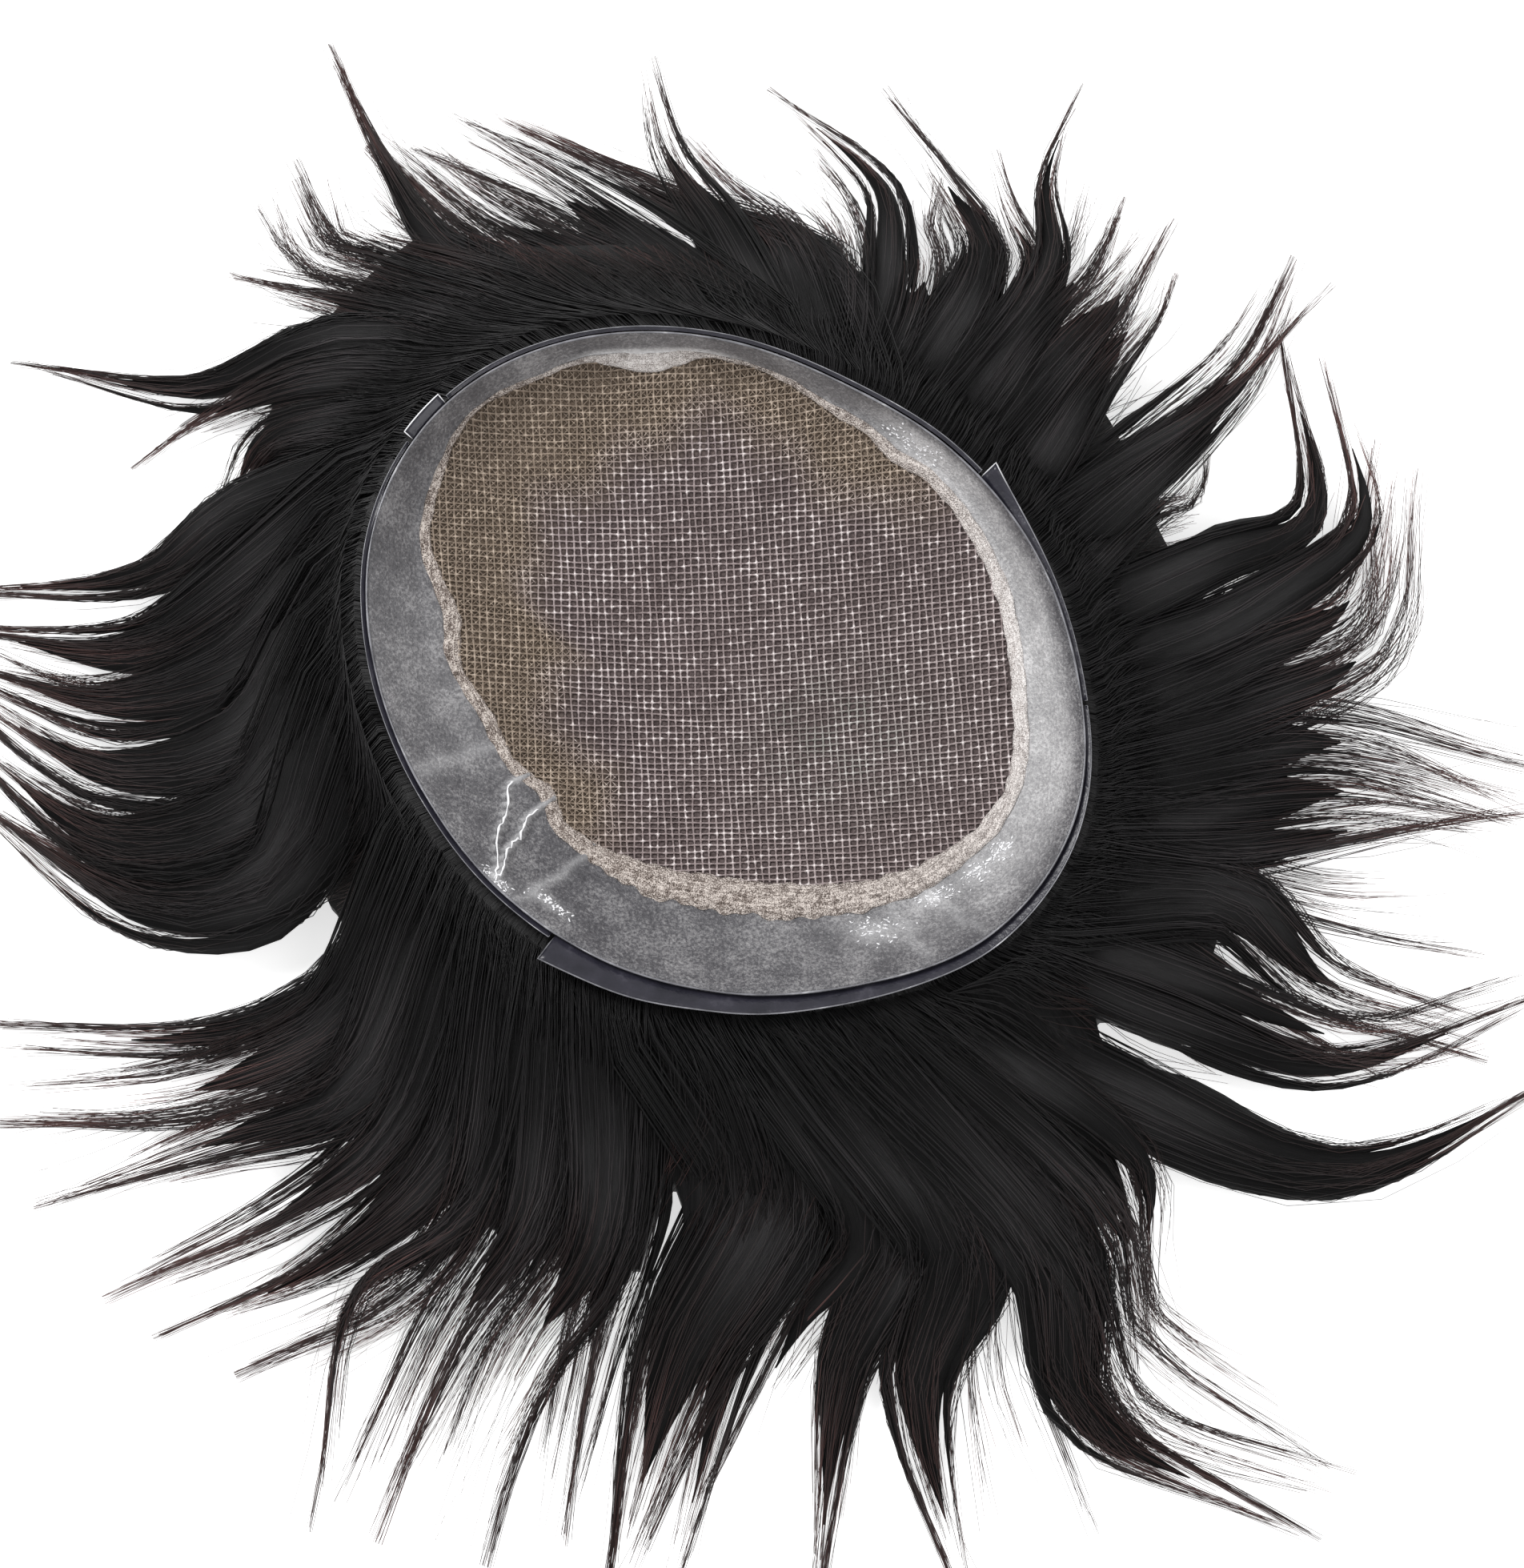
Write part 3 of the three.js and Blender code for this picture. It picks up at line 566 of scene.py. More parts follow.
def floor_material():
    """White paper that is a little bright by itself, as the photograph's ground is."""
    material, tree, shader = new_material("floor_white", 0.9, 0.1)
    grain = noise(tree, object_point(tree, 4), 2.0, 0.5)
    finish(tree, shader, ramp(tree, grain, [(0.3, (0.7, 0.7, 0.7)), (0.7, (0.72, 0.72, 0.72))]))
    shader.inputs["Emission Color"].default_value = (1, 1, 1, 1)
    shader.inputs["Emission Strength"].default_value = FLOOR_GLOW
    return material


def dress(piece, material, slot, *nodes):
    """Gives a piece its material and body, and hides the CAD nodes that it stands for; slot is not used."""
    piece.data.materials.append(material)
    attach(piece, "root")
    for name in nodes:
        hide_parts(name)


# The net

NET_PITCH_X = 2.05
NET_PITCH_Y = 1.85
NET_TURN = 2.5
LACE_PITCH = 1.5
LACE_TURN = 47
THREAD_RADIUS = 0.46
LACE_RADIUS = 0.22
WEAVE_LIFT = 0.16
THREAD_SIDES = 3
STEPS_PER_CELL = 2
CHANCE_TABLE = 400
LACE_OVER_NET = 0.06
GREEN_PLACE = (33, -12)
GREEN_SIZE = (26, 22)
BACKING_DEPTH = 0.5
BACKING_WALL = 0.4


def lace_start(turn):
    """The way at which the lace starts to show: further out at the front, but for one scallop."""
    return 1.12 + 0.8 * near(turn, 110, 44, 4) - 0.75 * near(turn, 103, 8, 4)


def way_in_net(x, y):
    turn, radius = np.degrees(np.arctan2(y, x)), np.hypot(x, y)
    net, seam = net_radius(turn), seam_radius(turn)
    return turn, np.where(radius < net, radius / net, 1 + (radius - net) / (seam - net))


def in_net(x, y):
    turn, way = way_in_net(x, y)
    return way < lace_start(turn) + LACE_OVER_NET


def net_surface(x, y):
    turn, way = way_in_net(x, y)
    return base_point(turn, np.minimum(way, 2))[..., 2]


def tan_share(x, y):
    """1 in the tan lace round the front's edge, 0 in the mauve middle and at the back."""
    turn, way = way_in_net(x, y)
    inside = (1 - way) * net_radius(turn)
    sector = clamp((104 - turns_apart(turn, FRONT_TURN + 3)) / 18)
    ragged = 3 * np.sin(turn * 0.12) + 2 * np.sin(turn * 0.31 + 1)
    deep = 15 + 19 * near(turn, 146, 42)
    return sector * clamp((deep + ragged - inside) / 16 + 0.3)


def runs_inside(mask):
    """(first, last) of each unbroken stretch of true values."""
    edges = np.flatnonzero(np.diff(np.concatenate([[0], mask.astype(int), [0]])))
    return [(a, b - 1) for a, b in zip(edges[::2], edges[1::2]) if b - a > 3]


def join(parts):
    """One set of arrays from several (points, quads, triangles, marks)."""
    points, quads, triangles, marks, offset = [], [], [], [], 0
    for some_points, some_quads, some_triangles, some_marks in parts:
        points.append(some_points)
        quads.append(some_quads + offset)
        triangles.append(some_triangles + offset)
        marks.append(some_marks)
        offset += len(some_points)
    return np.concatenate(points), np.concatenate(quads), np.concatenate(triangles), np.concatenate(marks)


def woven_threads(pitches, turned, radius, keep, rng):
    """Two crossing sets of threads over the bowl, where keep(x, y) is true. The mark is 1 on a crossing."""
    reach = BASE_LENGTH / 2
    angle = math.radians(turned)
    parts = []
    for direction, (pitch, cell) in enumerate((pitches, pitches[::-1])):
        samples = np.arange(-int(reach / cell) * STEPS_PER_CELL, int(reach / cell) * STEPS_PER_CELL + 1)
        along = samples * cell / STEPS_PER_CELL
        crossing = samples % STEPS_PER_CELL == 0
        for line in range(-int(reach / pitch), int(reach / pitch) + 1):
            bent = 0.2 * np.sin(along * 0.11 + line * 0.7)
            over = line * pitch + bent + 0.14 * np.sin(along * 0.31 + line * 1.9)
            u, v = (over, along) if direction == 0 else (along, over)
            x = u * math.cos(angle) - v * math.sin(angle)
            y = u * math.sin(angle) + v * math.cos(angle)
            parity = np.where((samples // STEPS_PER_CELL + line + direction) % 2 == 0, 1, -1)
            for first, last in runs_inside(keep(x, y)):
                part = slice(first, last + 1)
                on = crossing[part]
                z = net_surface(x[part], y[part]) + np.where(on, parity[part] * WEAVE_LIFT, 0)
                thick = radius * np.where(on, 1.12, rng.uniform(0.6, 1.05, len(on)))
                path = np.stack([x[part], y[part], z], -1)[None]
                points, quads, triangles = tube_arrays(path, thick[None], THREAD_SIDES)
                parts.append((points, quads, triangles, np.repeat(on, THREAD_SIDES)))
    return join(parts)


def thread_shade(points, crossing, pitches, turned, rng):
    """How pale each point of the threads is: a painted glint of random strength at each crossing, a random
    tone between them, and paler slanting streaks.
    """
    angle = math.radians(turned)
    x, y = points[:, 0], points[:, 1]
    column = np.round((x * math.cos(angle) + y * math.sin(angle)) / pitches[0]).astype(int)
    row = np.round((y * math.cos(angle) - x * math.sin(angle)) / pitches[1]).astype(int)
    chance = rng.random((CHANCE_TABLE, CHANCE_TABLE))[column % CHANCE_TABLE, row % CHANCE_TABLE]
    streak = np.sin((column - row) * 0.24 + 1.7 * np.sin(column * 0.13)) * np.sin((column + row) * 0.09 + 1)
    pale = np.where(crossing, 0.3 + 0.9 * chance**2.2, 0.06 + 0.3 * chance)
    return clamp(pale + 0.1 * streak)


def net_threads(rng):
    """The net, and a finer slanting lace over it in the tan zone."""
    pitches = (NET_PITCH_X, NET_PITCH_Y)
    lace_pitches = (LACE_PITCH, LACE_PITCH)

    def in_lace(x, y):
        ragged = 0.4 + 0.3 * np.sin(x * 1.3 + y) * np.sin(y)
        return in_net(x, y) & (tan_share(x, y) > ragged)

    net = woven_threads(pitches, NET_TURN, THREAD_RADIUS, in_net, rng)
    lace = woven_threads(lace_pitches, LACE_TURN, LACE_RADIUS, in_lace, rng)
    # The threads' random tone, with painted glints at the crossings
    shades = [thread_shade(net[0], net[3], pitches, NET_TURN, rng),
              0.9 * thread_shade(lace[0], lace[3], lace_pitches, LACE_TURN, rng)]
    points, quads, triangles, _ = join([net, lace])
    x, y = points[:, 0], points[:, 1]
    away = sum(((at - place) / size) ** 2 for at, place, size in zip((x, y), GREEN_PLACE, GREEN_SIZE))
    green = 0.5 * np.exp(-away) * (0.6 + 0.4 * np.sin(x * 0.3) * np.sin(y * 0.37))
    plan = np.stack([x, y], -1) / BASE_LENGTH + 0.5
    return make_mesh("net_threads", points, quads, triangles, uv={"OFBake": plan},
                     values={"tone_and_glint": np.concatenate(shades), "tan": tan_share(x, y), "green": green})


def ring_quads(rows, columns, wrap):
    """Faces of a wall whose cross-sections are closed loops, with its two end faces where it isn't round."""
    quads = grid_quads(rows, columns, wrap_rows=wrap, wrap_columns=True)[:, ::-1]
    if wrap:
        return quads
    end = np.array([[k, k + 1, columns - 2 - k, columns - 1 - k] for k in range(columns // 2 - 1)])
    return np.concatenate([quads, end, end[:, ::-1] + (rows - 1) * columns])


def sheet_piece(name, turns, ways, depth, wall, values=None, lift=None, wrap=True):
    """A closed thin wall over the base's surface, between the first and the last of the ways."""
    turn, way = np.broadcast_arrays(turns[:, None], ways)
    top = below(turn, way, np.full(way.shape, float(depth)))
    low = below(turn, way, np.full(way.shape, float(depth + wall)))
    if lift is not None:
        raised = base_normal(turn, way) * lift(turn, way)[..., None]
        top, low = top + raised, low + raised
    ring = np.concatenate([top, low[:, ::-1]], 1)
    numbers = {}
    for label, function in (values or {}).items():
        face = function(turn, way)
        numbers[label] = np.concatenate([face, face[:, ::-1]], 1)
    return make_mesh(name, ring, ring_quads(*ring.shape[:2], wrap), values=numbers)


LACE_WALL = 0.5
COARSE_TURNS = np.arange(0, 360, 2.0)
FINE_TURNS = np.arange(0, 360, 1.0)


def net_backing():
    """The finer layer right under the net, with a closed middle."""
    ways = np.concatenate([[FIRST_WAY], np.linspace(0.1, 1, 14)]) * (lace_start(COARSE_TURNS)[:, None] + 0.05)

    def tan(turn, way):
        return tan_share(*np.moveaxis(base_point(turn, way)[..., :2], -1, 0))

    return sheet_piece("net_backing", COARSE_TURNS, ways, BACKING_DEPTH, BACKING_WALL, {"tan": tan})


def ripple(turn, size, *terms):
    """A small uneven wave round the base, from (cycles, phase) terms."""
    angle = np.radians(turn)
    return size * sum(np.sin(cycles * angle + phase) for cycles, phase in terms) / len(terms)


def seam_pale(turn, way):
    """1 where the seam is nearly white: on the photograph's right, and in the crescent at its top."""
    return clamp(near(turn, 5, 42) + 0.9 * near(turn, 104, 13))


def seam_lace():
    """The beige band: uneven edges over the net and the film, and a low ridge of glue."""
    inner = lace_start(FINE_TURNS) + ripple(FINE_TURNS, 0.07, (31, 0.3), (47, 1.1), (83, 2.0))
    full = 0.5 * near(FINE_TURNS, 268, 44, 4) + 0.2 * near(FINE_TURNS, 8, 50)
    front = 0.55 * near(FINE_TURNS, 110, 46, 4)
    outer = 1.62 + full + front + ripple(FINE_TURNS, 0.05, (23, 0.9), (37, 2.1), (71, 0.4))
    share = np.linspace(0, 1, 7)

    def lift(turn, way):
        ridge = 0.3 + 0.35 * np.sin(np.pi * np.broadcast_to(share, way.shape))
        grain = 0.1 * np.sin(way * 9 + np.radians(turn) * 17)
        return ridge + ripple(turn, 0.12, (29, 0.5), (53, 1.7)) + grain

    ways = inner[:, None] + (outer - inner)[:, None] * share
    return sheet_piece("seam_lace", FINE_TURNS, ways, 0, LACE_WALL, {"pale": seam_pale}, lift)


# Folds of the film: turn at the seam, turn at the rim, height, half width in degrees
PLEATS = ((206, 224.5, 0.9, 0.7), (215, 224, 1.2, 0.7), (196, 199, 0.3, 1.6), (232, 229, 0.4, 1.2),
          (306, 304, 0.3, 1.0), (313, 314, 0.3, 0.8))

# Glints of glue by the seam: turn, half width in degrees, way, half width in way
GLINTS = ((300, 4.5, 2.33, 0.16), (313.5, 3, 2.06, 0.12), (322, 2.6, 2.08, 0.16), (327.5, 2, 2.12, 0.14),
          (224, 3, 2.93, 0.08), (233, 4, 2.72, 0.06), (52, 6, 2.3, 0.3))

# Turns of the film's sections, closer together at the sharp folds
FILM_TURNS = np.concatenate([np.arange(0, 195, 1.0), np.arange(195, 236, 0.35), np.arange(236, 360, 1.0)])
FILM_SHEET = 0.45
TAPE_SHEET = 0.4
TAPE_UNDER_FILM = (2.45, 2.8)
TAPE_WAVE = 1.6


def crest_turn(start, end, way):
    """The turn of a fold's crest, which wavers on its way from the seam to the rim."""
    return mix(start, end, clamp(way - 2)) + 0.5 * np.sin(way * 14)


def pleat_height(turn, way):
    total = np.zeros_like(turn)
    for start, end, high, half in PLEATS:
        total += high * near(turn, crest_turn(start, end, way), half) * clamp((3.02 - way) * 6)
    return total


def film_lift(turn, way):
    swell = ripple(turn, 0.4, (9, 0.4), (14, 2.2), (5, 1.0)) * np.sin(np.pi * clamp(way - 2))
    return swell + pleat_height(turn, way)


def film_frost_and_reflection(turn, way):
    """1 where the film is paler, partly milky film and partly painted reflection: inside the rim on the right
    in the camera's view, its upper right and its top.
    """
    right = near(turn, 2, 46) * clamp((2.9 - way) / 0.35)
    corner = near(turn, 44, 13) * clamp((3 - way) / 0.3)
    top = near(turn, 101, 13, 4) * clamp((2.45 - way) / 0.25)
    left = 0.16 * near(turn, 178, 30)
    front = 0.28 * near(turn, 95, 42, 4)
    return clamp(0.85 * right + 0.6 * corner + top + left + front)


def film_painted_highlight(turn, way):
    """Painted highlight on the film: along its folds, round the glints, and in the crescent at its top."""
    lines = np.clip(pleat_height(turn, way) * 0.4, 0, 0.3)
    patches = sum(near(turn, at, wide) * np.exp(-(((way - out) / deep) ** 2))
                  for at, wide, out, deep in GLINTS)
    crescent = near(turn, 101, 12, 4) * clamp((2.4 - way) / 0.3)
    return clamp(lines + 0.25 * patches + 0.7 * crescent)


def film_piece():
    first = np.minimum(lace_start(FILM_TURNS) + 0.08, 1.96)[:, None]
    ways = np.concatenate([first, mix(first, 2, 0.5), np.linspace(2, 3, 13) + np.zeros_like(first)], 1)
    looks = {"frost_and_reflection": film_frost_and_reflection, "painted_highlight": film_painted_highlight}
    return sheet_piece("film_ring", FILM_TURNS, ways, 0, FILM_SHEET, looks, film_lift)


def tape_turns(name):
    first, last, *_ = TAPES[name]
    return np.linspace(first, last, max(int(last - first), 12))


def tape_outer(name, turns):
    first, last, start, end, ease = TAPES[name]
    along = (turns - first) / (last - first)
    return 3 + TAPE_PROUD * mix(start, end, along**ease) / film_width(turns)


def tape_wave(turn, way):
    return clamp(way - 3) * ripple(turn, TAPE_WAVE, (11, 0.2), (19, 1.4))


def tape_piece(name):
    turns = tape_turns(name)
    past = (tape_outer(name, turns) - 3)[:, None] * np.linspace(0, 1, 5)
    under = np.broadcast_to(TAPE_UNDER_FILM, (len(turns), 2))
    ways = np.concatenate([under, 3 + past], 1)
    return sheet_piece(name + "_strip", turns, ways, FILM_WALL + GAP, TAPE_SHEET, lift=tape_wave, wrap=False)


EDGE_SIDES = 6
EDGE_START = 3.02
EDGE_STEPS = 4
RIM_BEAD = 0.27
TAPE_BEAD = 0.2
FOLD_STEPS = 26
GLINT_COUNT = 60


def bright_folds(rng):
    """Thin jagged lines of painted highlight on the crests of the two sharpest folds."""
    parts = []
    for start, end, *_ in PLEATS[:2]:
        way = np.linspace(1.95, 2.97, FOLD_STEPS)
        turn = crest_turn(start, end, way) + rng.normal(0, 0.22, FOLD_STEPS)
        path = base_point(turn, way) + base_normal(turn, way) * (pleat_height(turn, way) + 0.3)[:, None]
        parts.append(tube_arrays(path[None], rng.uniform(0.12, 0.42, (1, FOLD_STEPS)), EDGE_SIDES))
    return parts


def bright_glints(rng):
    """Small crumbs of dried glue beside the seam, painted near-white as glints."""
    parts = []
    for at, wide, out, deep in GLINTS:
        turn = at + rng.normal(0, 0.6, GLINT_COUNT) * wide
        way = np.clip(out + rng.normal(0, 0.6, GLINT_COUNT) * deep, 1.9, 2.97)
        slant = rng.uniform(-0.4, 0.4, (GLINT_COUNT, 1)) * [-1, 0, 1]
        reach = rng.uniform(0.1, 0.5, (GLINT_COUNT, 1)) * [-1, 0, 1] / 30
        turns, ways = turn[:, None] + slant, way[:, None] + reach
        path = base_point(turns, ways) + base_normal(turns, ways) * 0.15
        parts.append(tube_arrays(path, rng.uniform(0.1, 0.32, (GLINT_COUNT, 1)) * [0.6, 1, 0.6], 4))
    return parts


def film_edges(rng):
    """The cut edges, painted bright as highlights: round the rim, and round the outer side and the ends of
    each tape strip.
    """
    rim = base_point(FINE_TURNS, 3.0) + base_normal(FINE_TURNS, np.full_like(FINE_TURNS, 3.0)) * 0.1
    width = RIM_BEAD + ripple(FINE_TURNS, 0.1, (13, 0.3), (29, 1.2))
    ring = tube_arrays(rim[None], width[None], EDGE_SIDES, closed=True)
    marked = [(*ring, np.zeros(len(ring[0])))]
    for name, (first, last, *_) in TAPES.items():
        turns = tape_turns(name)
        outer = tape_outer(name, turns)
        start = np.linspace(EDGE_START, outer[0], EDGE_STEPS + 1)[:-1]
        end = np.linspace(outer[-1], EDGE_START, EDGE_STEPS + 1)[1:]
        turn = np.concatenate([np.full(EDGE_STEPS, first), turns, np.full(EDGE_STEPS, last)])
        way = np.concatenate([start, outer, end])
        path = below(turn, way, np.full_like(turn, FILM_WALL + GAP))
        path = path + base_normal(turn, way) * tape_wave(turn, way)[:, None]
        bead = TAPE_BEAD * np.clip((way - 3) * film_width(turn) / 2, 0.4, 1)
        # Painted glint on the step strip's edge, and on the left strip's edge past turn 33
        bright = 0.8 if name == "tape_step" else 0.6 * clamp((turn - 33) / 4) * (name == "tape_left")
        marks = np.repeat(np.broadcast_to(bright, turn.shape), EDGE_SIDES)
        marked.append((*tube_arrays(path[None], bead[None], EDGE_SIDES), marks))
    # The fold lines and glue crumbs are painted glints in full
    marked += [(*part, np.ones(len(part[0]))) for part in bright_folds(rng) + bright_glints(rng)]
    points, quads, triangles, bright = join(marked)
    return make_mesh("film_edges", points, quads, triangles, values={"bright": bright})


# The hair

LINE_SAMPLES = 72
STRAND_STEPS = 11
STRAND_SIDES = 3
STRANDS_PER_QUARTER = 2480
UNDERCOAT_SHARE = 0.22
LOOSE_SHARE = 0.12
LONGEST = 1.06
LONGEST_PRONG = 1.04
STRAND_RADIUS = 0.19
STRAND_TAPER = 0.64
ROOT_WAY = 2.72
ROOT_DEPTH = 2.8
ROOT_OVER_RIM = (4, 0.87)
NO_GAP = 2.0

# Least heights above the floor, in millimetres
FLOOR_CLEARANCE = 0.2
CORE_CLEARANCE = 0.3
STRAND_CLEARANCE = 0.4
MAT_CLEARANCE = 0.6


def smooth_line(knots, samples):
    """Centripetal Catmull-Rom curves through (line, knot, xyz), resampled evenly along their length."""
    first = 2 * knots[:, :1] - knots[:, 1:2]
    last = 2 * knots[:, -1:] - knots[:, -2:-1]
    padded = np.concatenate([first, knots, last], 1)
    fine = []
    for k in range(knots.shape[1] - 1):
        p0, p1, p2, p3 = (padded[:, k + j] for j in range(4))
        steps = [np.maximum(np.linalg.norm(b - a, axis=-1, keepdims=True) ** 0.5, 1e-4)
                 for a, b in ((p0, p1), (p1, p2), (p2, p3))]
        start = ((p1 - p0) / steps[0] - (p2 - p0) / (steps[0] + steps[1]) + (p2 - p1) / steps[1]) * steps[1]
        end = ((p2 - p1) / steps[1] - (p3 - p1) / (steps[1] + steps[2]) + (p3 - p2) / steps[2]) * steps[1]
        for t in np.arange(0, 1, 1 / 12):
            fine.append(p1 + start * t + (-3 * p1 + 3 * p2 - 2 * start - end) * t**2
                        + (2 * p1 - 2 * p2 + start + end) * t**3)
    fine = np.stack([*fine, knots[:, -1]], 1)
    lengths = np.linalg.norm(np.diff(fine, axis=1), axis=-1)
    places = np.concatenate([np.zeros((len(fine), 1)), np.cumsum(lengths, 1)], 1)
    places /= places[:, -1:]
    even = np.linspace(0, 1, samples)
    return np.stack([np.stack([np.interp(even, place, line[:, axis]) for axis in range(3)], -1)
                     for place, line in zip(places, fine)])


def lock_knots(locks):
    """Knots of the locks' middle lines, from rows of (root, bend, reach, knee, reach, tip, reach)."""
    locks = np.asarray(locks, float)
    turns = locks[:, [0, 1, 3, 5]]
    outs = np.concatenate([np.full((len(locks), 1), LOCK_ROOT_OUT), locks[:, [2, 4, 6]] * HAIR_REACH], 1)
    ways, high = (np.array(column) for column in zip(*LOCK_LINE))
    turn, out = (np.stack([np.interp(ways, range(4), row) for row in rows]) for rows in (turns, outs))
    return polar(turn, rim_radius(turn) + out, high * RIM_HEIGHT + np.zeros_like(turn))


def sideways(lines):
    """Level unit vectors across the lines."""
    return unit(np.cross([0, 0, 1.0], unit(np.gradient(lines, axis=-2))))


def at_places(line, places):
    """Points of one (sample, xyz) line at fractional places of any shape, going straight on past its end."""
    last = len(line) - 1
    index = np.clip(np.floor(places * last).astype(int), 0, last - 1)
    share = (places * last - index)[..., None]
    return line[index] * (1 - share) + line[index + 1] * share


def mat_height(turn, out):
    """Height of the hair mass at a distance past the rim, in millimetres."""
    outs, highs = (np.array(column) for column in zip(*MAT_PROFILE))
    reach = around(turn, "mat") * HAIR_REACH
    return np.interp((out - HAIR_BEHIND_RIM) / reach, outs, highs) * rim_height(turn)


def gap_reach(turn):
    """How far out the hair may be solid, as a share of its reach, between the white gaps."""
    reach = np.full(np.shape(turn), NO_GAP)
    for at, start, half in HAIR_GAPS:
        reach = np.minimum(reach, start + 0.25 * (turns_apart(turn, at) / half) ** 4)
    return reach


def with_roots(lines, turns):
    """Leads each line back to its root, under the film just inside the rim."""
    out, high = ROOT_OVER_RIM
    under = below(turns, np.full_like(turns, ROOT_WAY), np.full_like(turns, ROOT_DEPTH))
    over = polar(turns, rim_radius(turns) + out, high * rim_height(turns))
    return np.concatenate([np.stack([under, over], 1), lines], 1)


class Lock:
    """One lock: its middle line, its widths, and the prongs that it splits into."""

    def __init__(self, row, rng):
        self.root, self.bend, self.wide, self.fan = row[0], row[1], row[7], row[8]
        self.line = smooth_line(lock_knots([row]), LINE_SAMPLES)[0]
        self.side = sideways(self.line)
        self.half_root = self.wide * LOCK_WIDTH / 2
        count = 2 + round(2 * self.wide + 3 * self.fan)
        self.places = np.linspace(-0.8, 0.8, count) + rng.uniform(-0.15, 0.15, count)
        self.reach = rng.uniform(0.86 - 0.22 * self.fan, 1.0, count)
        self.reach[rng.integers(count)] = LONGEST_PRONG
        self.stray = rng.normal(0, 3.5, count) * self.fan + 9 * self.places * self.fan**1.5
        self.bow = rng.normal(0, 1.8, count)
        self.wave = (rng.uniform(0.4, 1.5), rng.uniform(0.8, 1.4), rng.uniform(0, 2 * math.pi))
        self.sheen = rng.uniform(0.26, 0.5)
        angle = math.radians(self.root)
        # Random tone, plus painted light by where the lock lies: lightest at turn 0, a little lighter at 180,
        # darker at 90 and 270
        self.tone_and_side_light = rng.uniform(-0.08, 0.08) + 0.08 * math.cos(2 * angle) + 0.05 * math.cos(angle)

    def half(self, t):
        narrowing = (0.93 - 0.4 * self.fan) * np.clip(t, 0, 1.02) ** (2.5 - 0.6 * self.fan)
        return self.half_root * (1 - narrowing)

    def thick(self, t):
        return LOCK_THICKNESS / 2 * np.clip(1 - clamp(t) ** 1.5, 0.07, 1)

    def offset(self, prong, t):
        """How far across the lock a prong's middle runs, in millimetres."""
        together = 1 - (0.55 - 0.5 * self.fan) * clamp(t) ** 2
        across = self.half(t) * self.places[prong] * together
        return across + self.stray[prong] * t**2.4 + self.bow[prong] * np.sin(np.pi * t)

    def point(self, t, across, up):
        """A point at a way along the lock, across it and above its middle, with the lock's own wave."""
        size, cycles, phase = self.wave
        across = across + size * np.sin(cycles * 2 * np.pi * t + phase) * clamp(2 * t)
        points = at_places(self.line, t) + at_places(self.side, np.minimum(t, 1)) * across[..., None]
        points[..., 2] += up
        return points

    def light(self, t, own):
        """Painted sheen over the lock's back, where it bends, and painted shade on its sides and at its root.
        """
        upper = np.exp(-(((t - self.sheen - 0.06 * own) / 0.13) ** 2))
        lower = 0.45 * np.exp(-(((t - self.sheen - 0.36) / 0.1) ** 2))
        lit = 0.6 * (upper + lower) * (1 - 0.8 * own**2)
        return self.tone_and_side_light + lit - 0.16 * own**2 - 0.12 * clamp(1 - t / 0.15)


def lock_strands(lock, count, rng):
    """Paths, shades and sizes of the strands of one lock."""
    weights = np.where(lock.reach > 1, 2.0, 1.0)
    prong = rng.choice(len(weights), size=count, p=weights / weights.sum())
    loose = rng.random(count) < LOOSE_SHARE * (0.4 + lock.fan)
    length = lock.reach[prong] * rng.triangular(0.74, 1.02, 1.08, count)
    length = np.where(loose, rng.uniform(0.6, 1.12, count), length)
    length = np.minimum(length, LONGEST)[:, None]
    t = np.linspace(0, 1, STRAND_STEPS - 2)[None] * length
    own = np.clip(lock.places[prong] + rng.normal(0, 0.18, count), -1.0, 1.0)
    own = np.where(loose, rng.uniform(-1, 1, count), own)[:, None]
    gather = np.where(loose, 0.2, 1.0)[:, None] * clamp((t - 0.15) / 0.7)
    close = 1 - (0.88 - 0.5 * lock.fan) * clamp((t - 0.3) / 0.65)
    middle = lock.offset(prong[:, None], t)
    free = lock.half(t) * own
    across = free + (middle + (own - lock.places[prong][:, None]) * lock.half(t) * close - free) * gather
    drift = np.where(loose, rng.normal(0, 8, count) + 4 * own[:, 0], rng.normal(0, 0.9, count))[:, None]
    size = rng.normal(0, 0.6, (count, 1))
    cycles = rng.uniform(4, 11, (count, 1))
    phase = rng.uniform(0, 6, (count, 1))
    across = across + drift * (0.3 + lock.fan) * t**2.4 + size * np.sin(t * cycles + phase) * t
    layer = rng.uniform(-0.35, 1.06, count)[:, None]
    up = lock.thick(t) * layer * np.sqrt(clamp(1.1 - own**2)) + np.where(loose[:, None], 2.5 * t * layer, 0)
    half_turn = np.degrees(lock.half_root / (BASE_WIDTH / 2))
    root = lock.root - 0.15 * (lock.bend - lock.root) + own[:, 0] * half_turn
    by_prong = 0.07 * np.sin(prong * 2.4 + lock.root)[:, None]
    # Each strand's tone, with its lock's painted sheen and painted shade
    shade = 0.37 + rng.normal(0, 0.13, (count, 1)) + by_prong + lock.light(t, own)
    # The root point under the film is painted 0.06 darker, as shade
    shade = np.concatenate([shade[:, :1] - 0.06, shade[:, :1], shade], 1)
    return with_roots(lock.point(t, across, up), root), clamp(shade), np.where(loose, 0.7, 1.0)


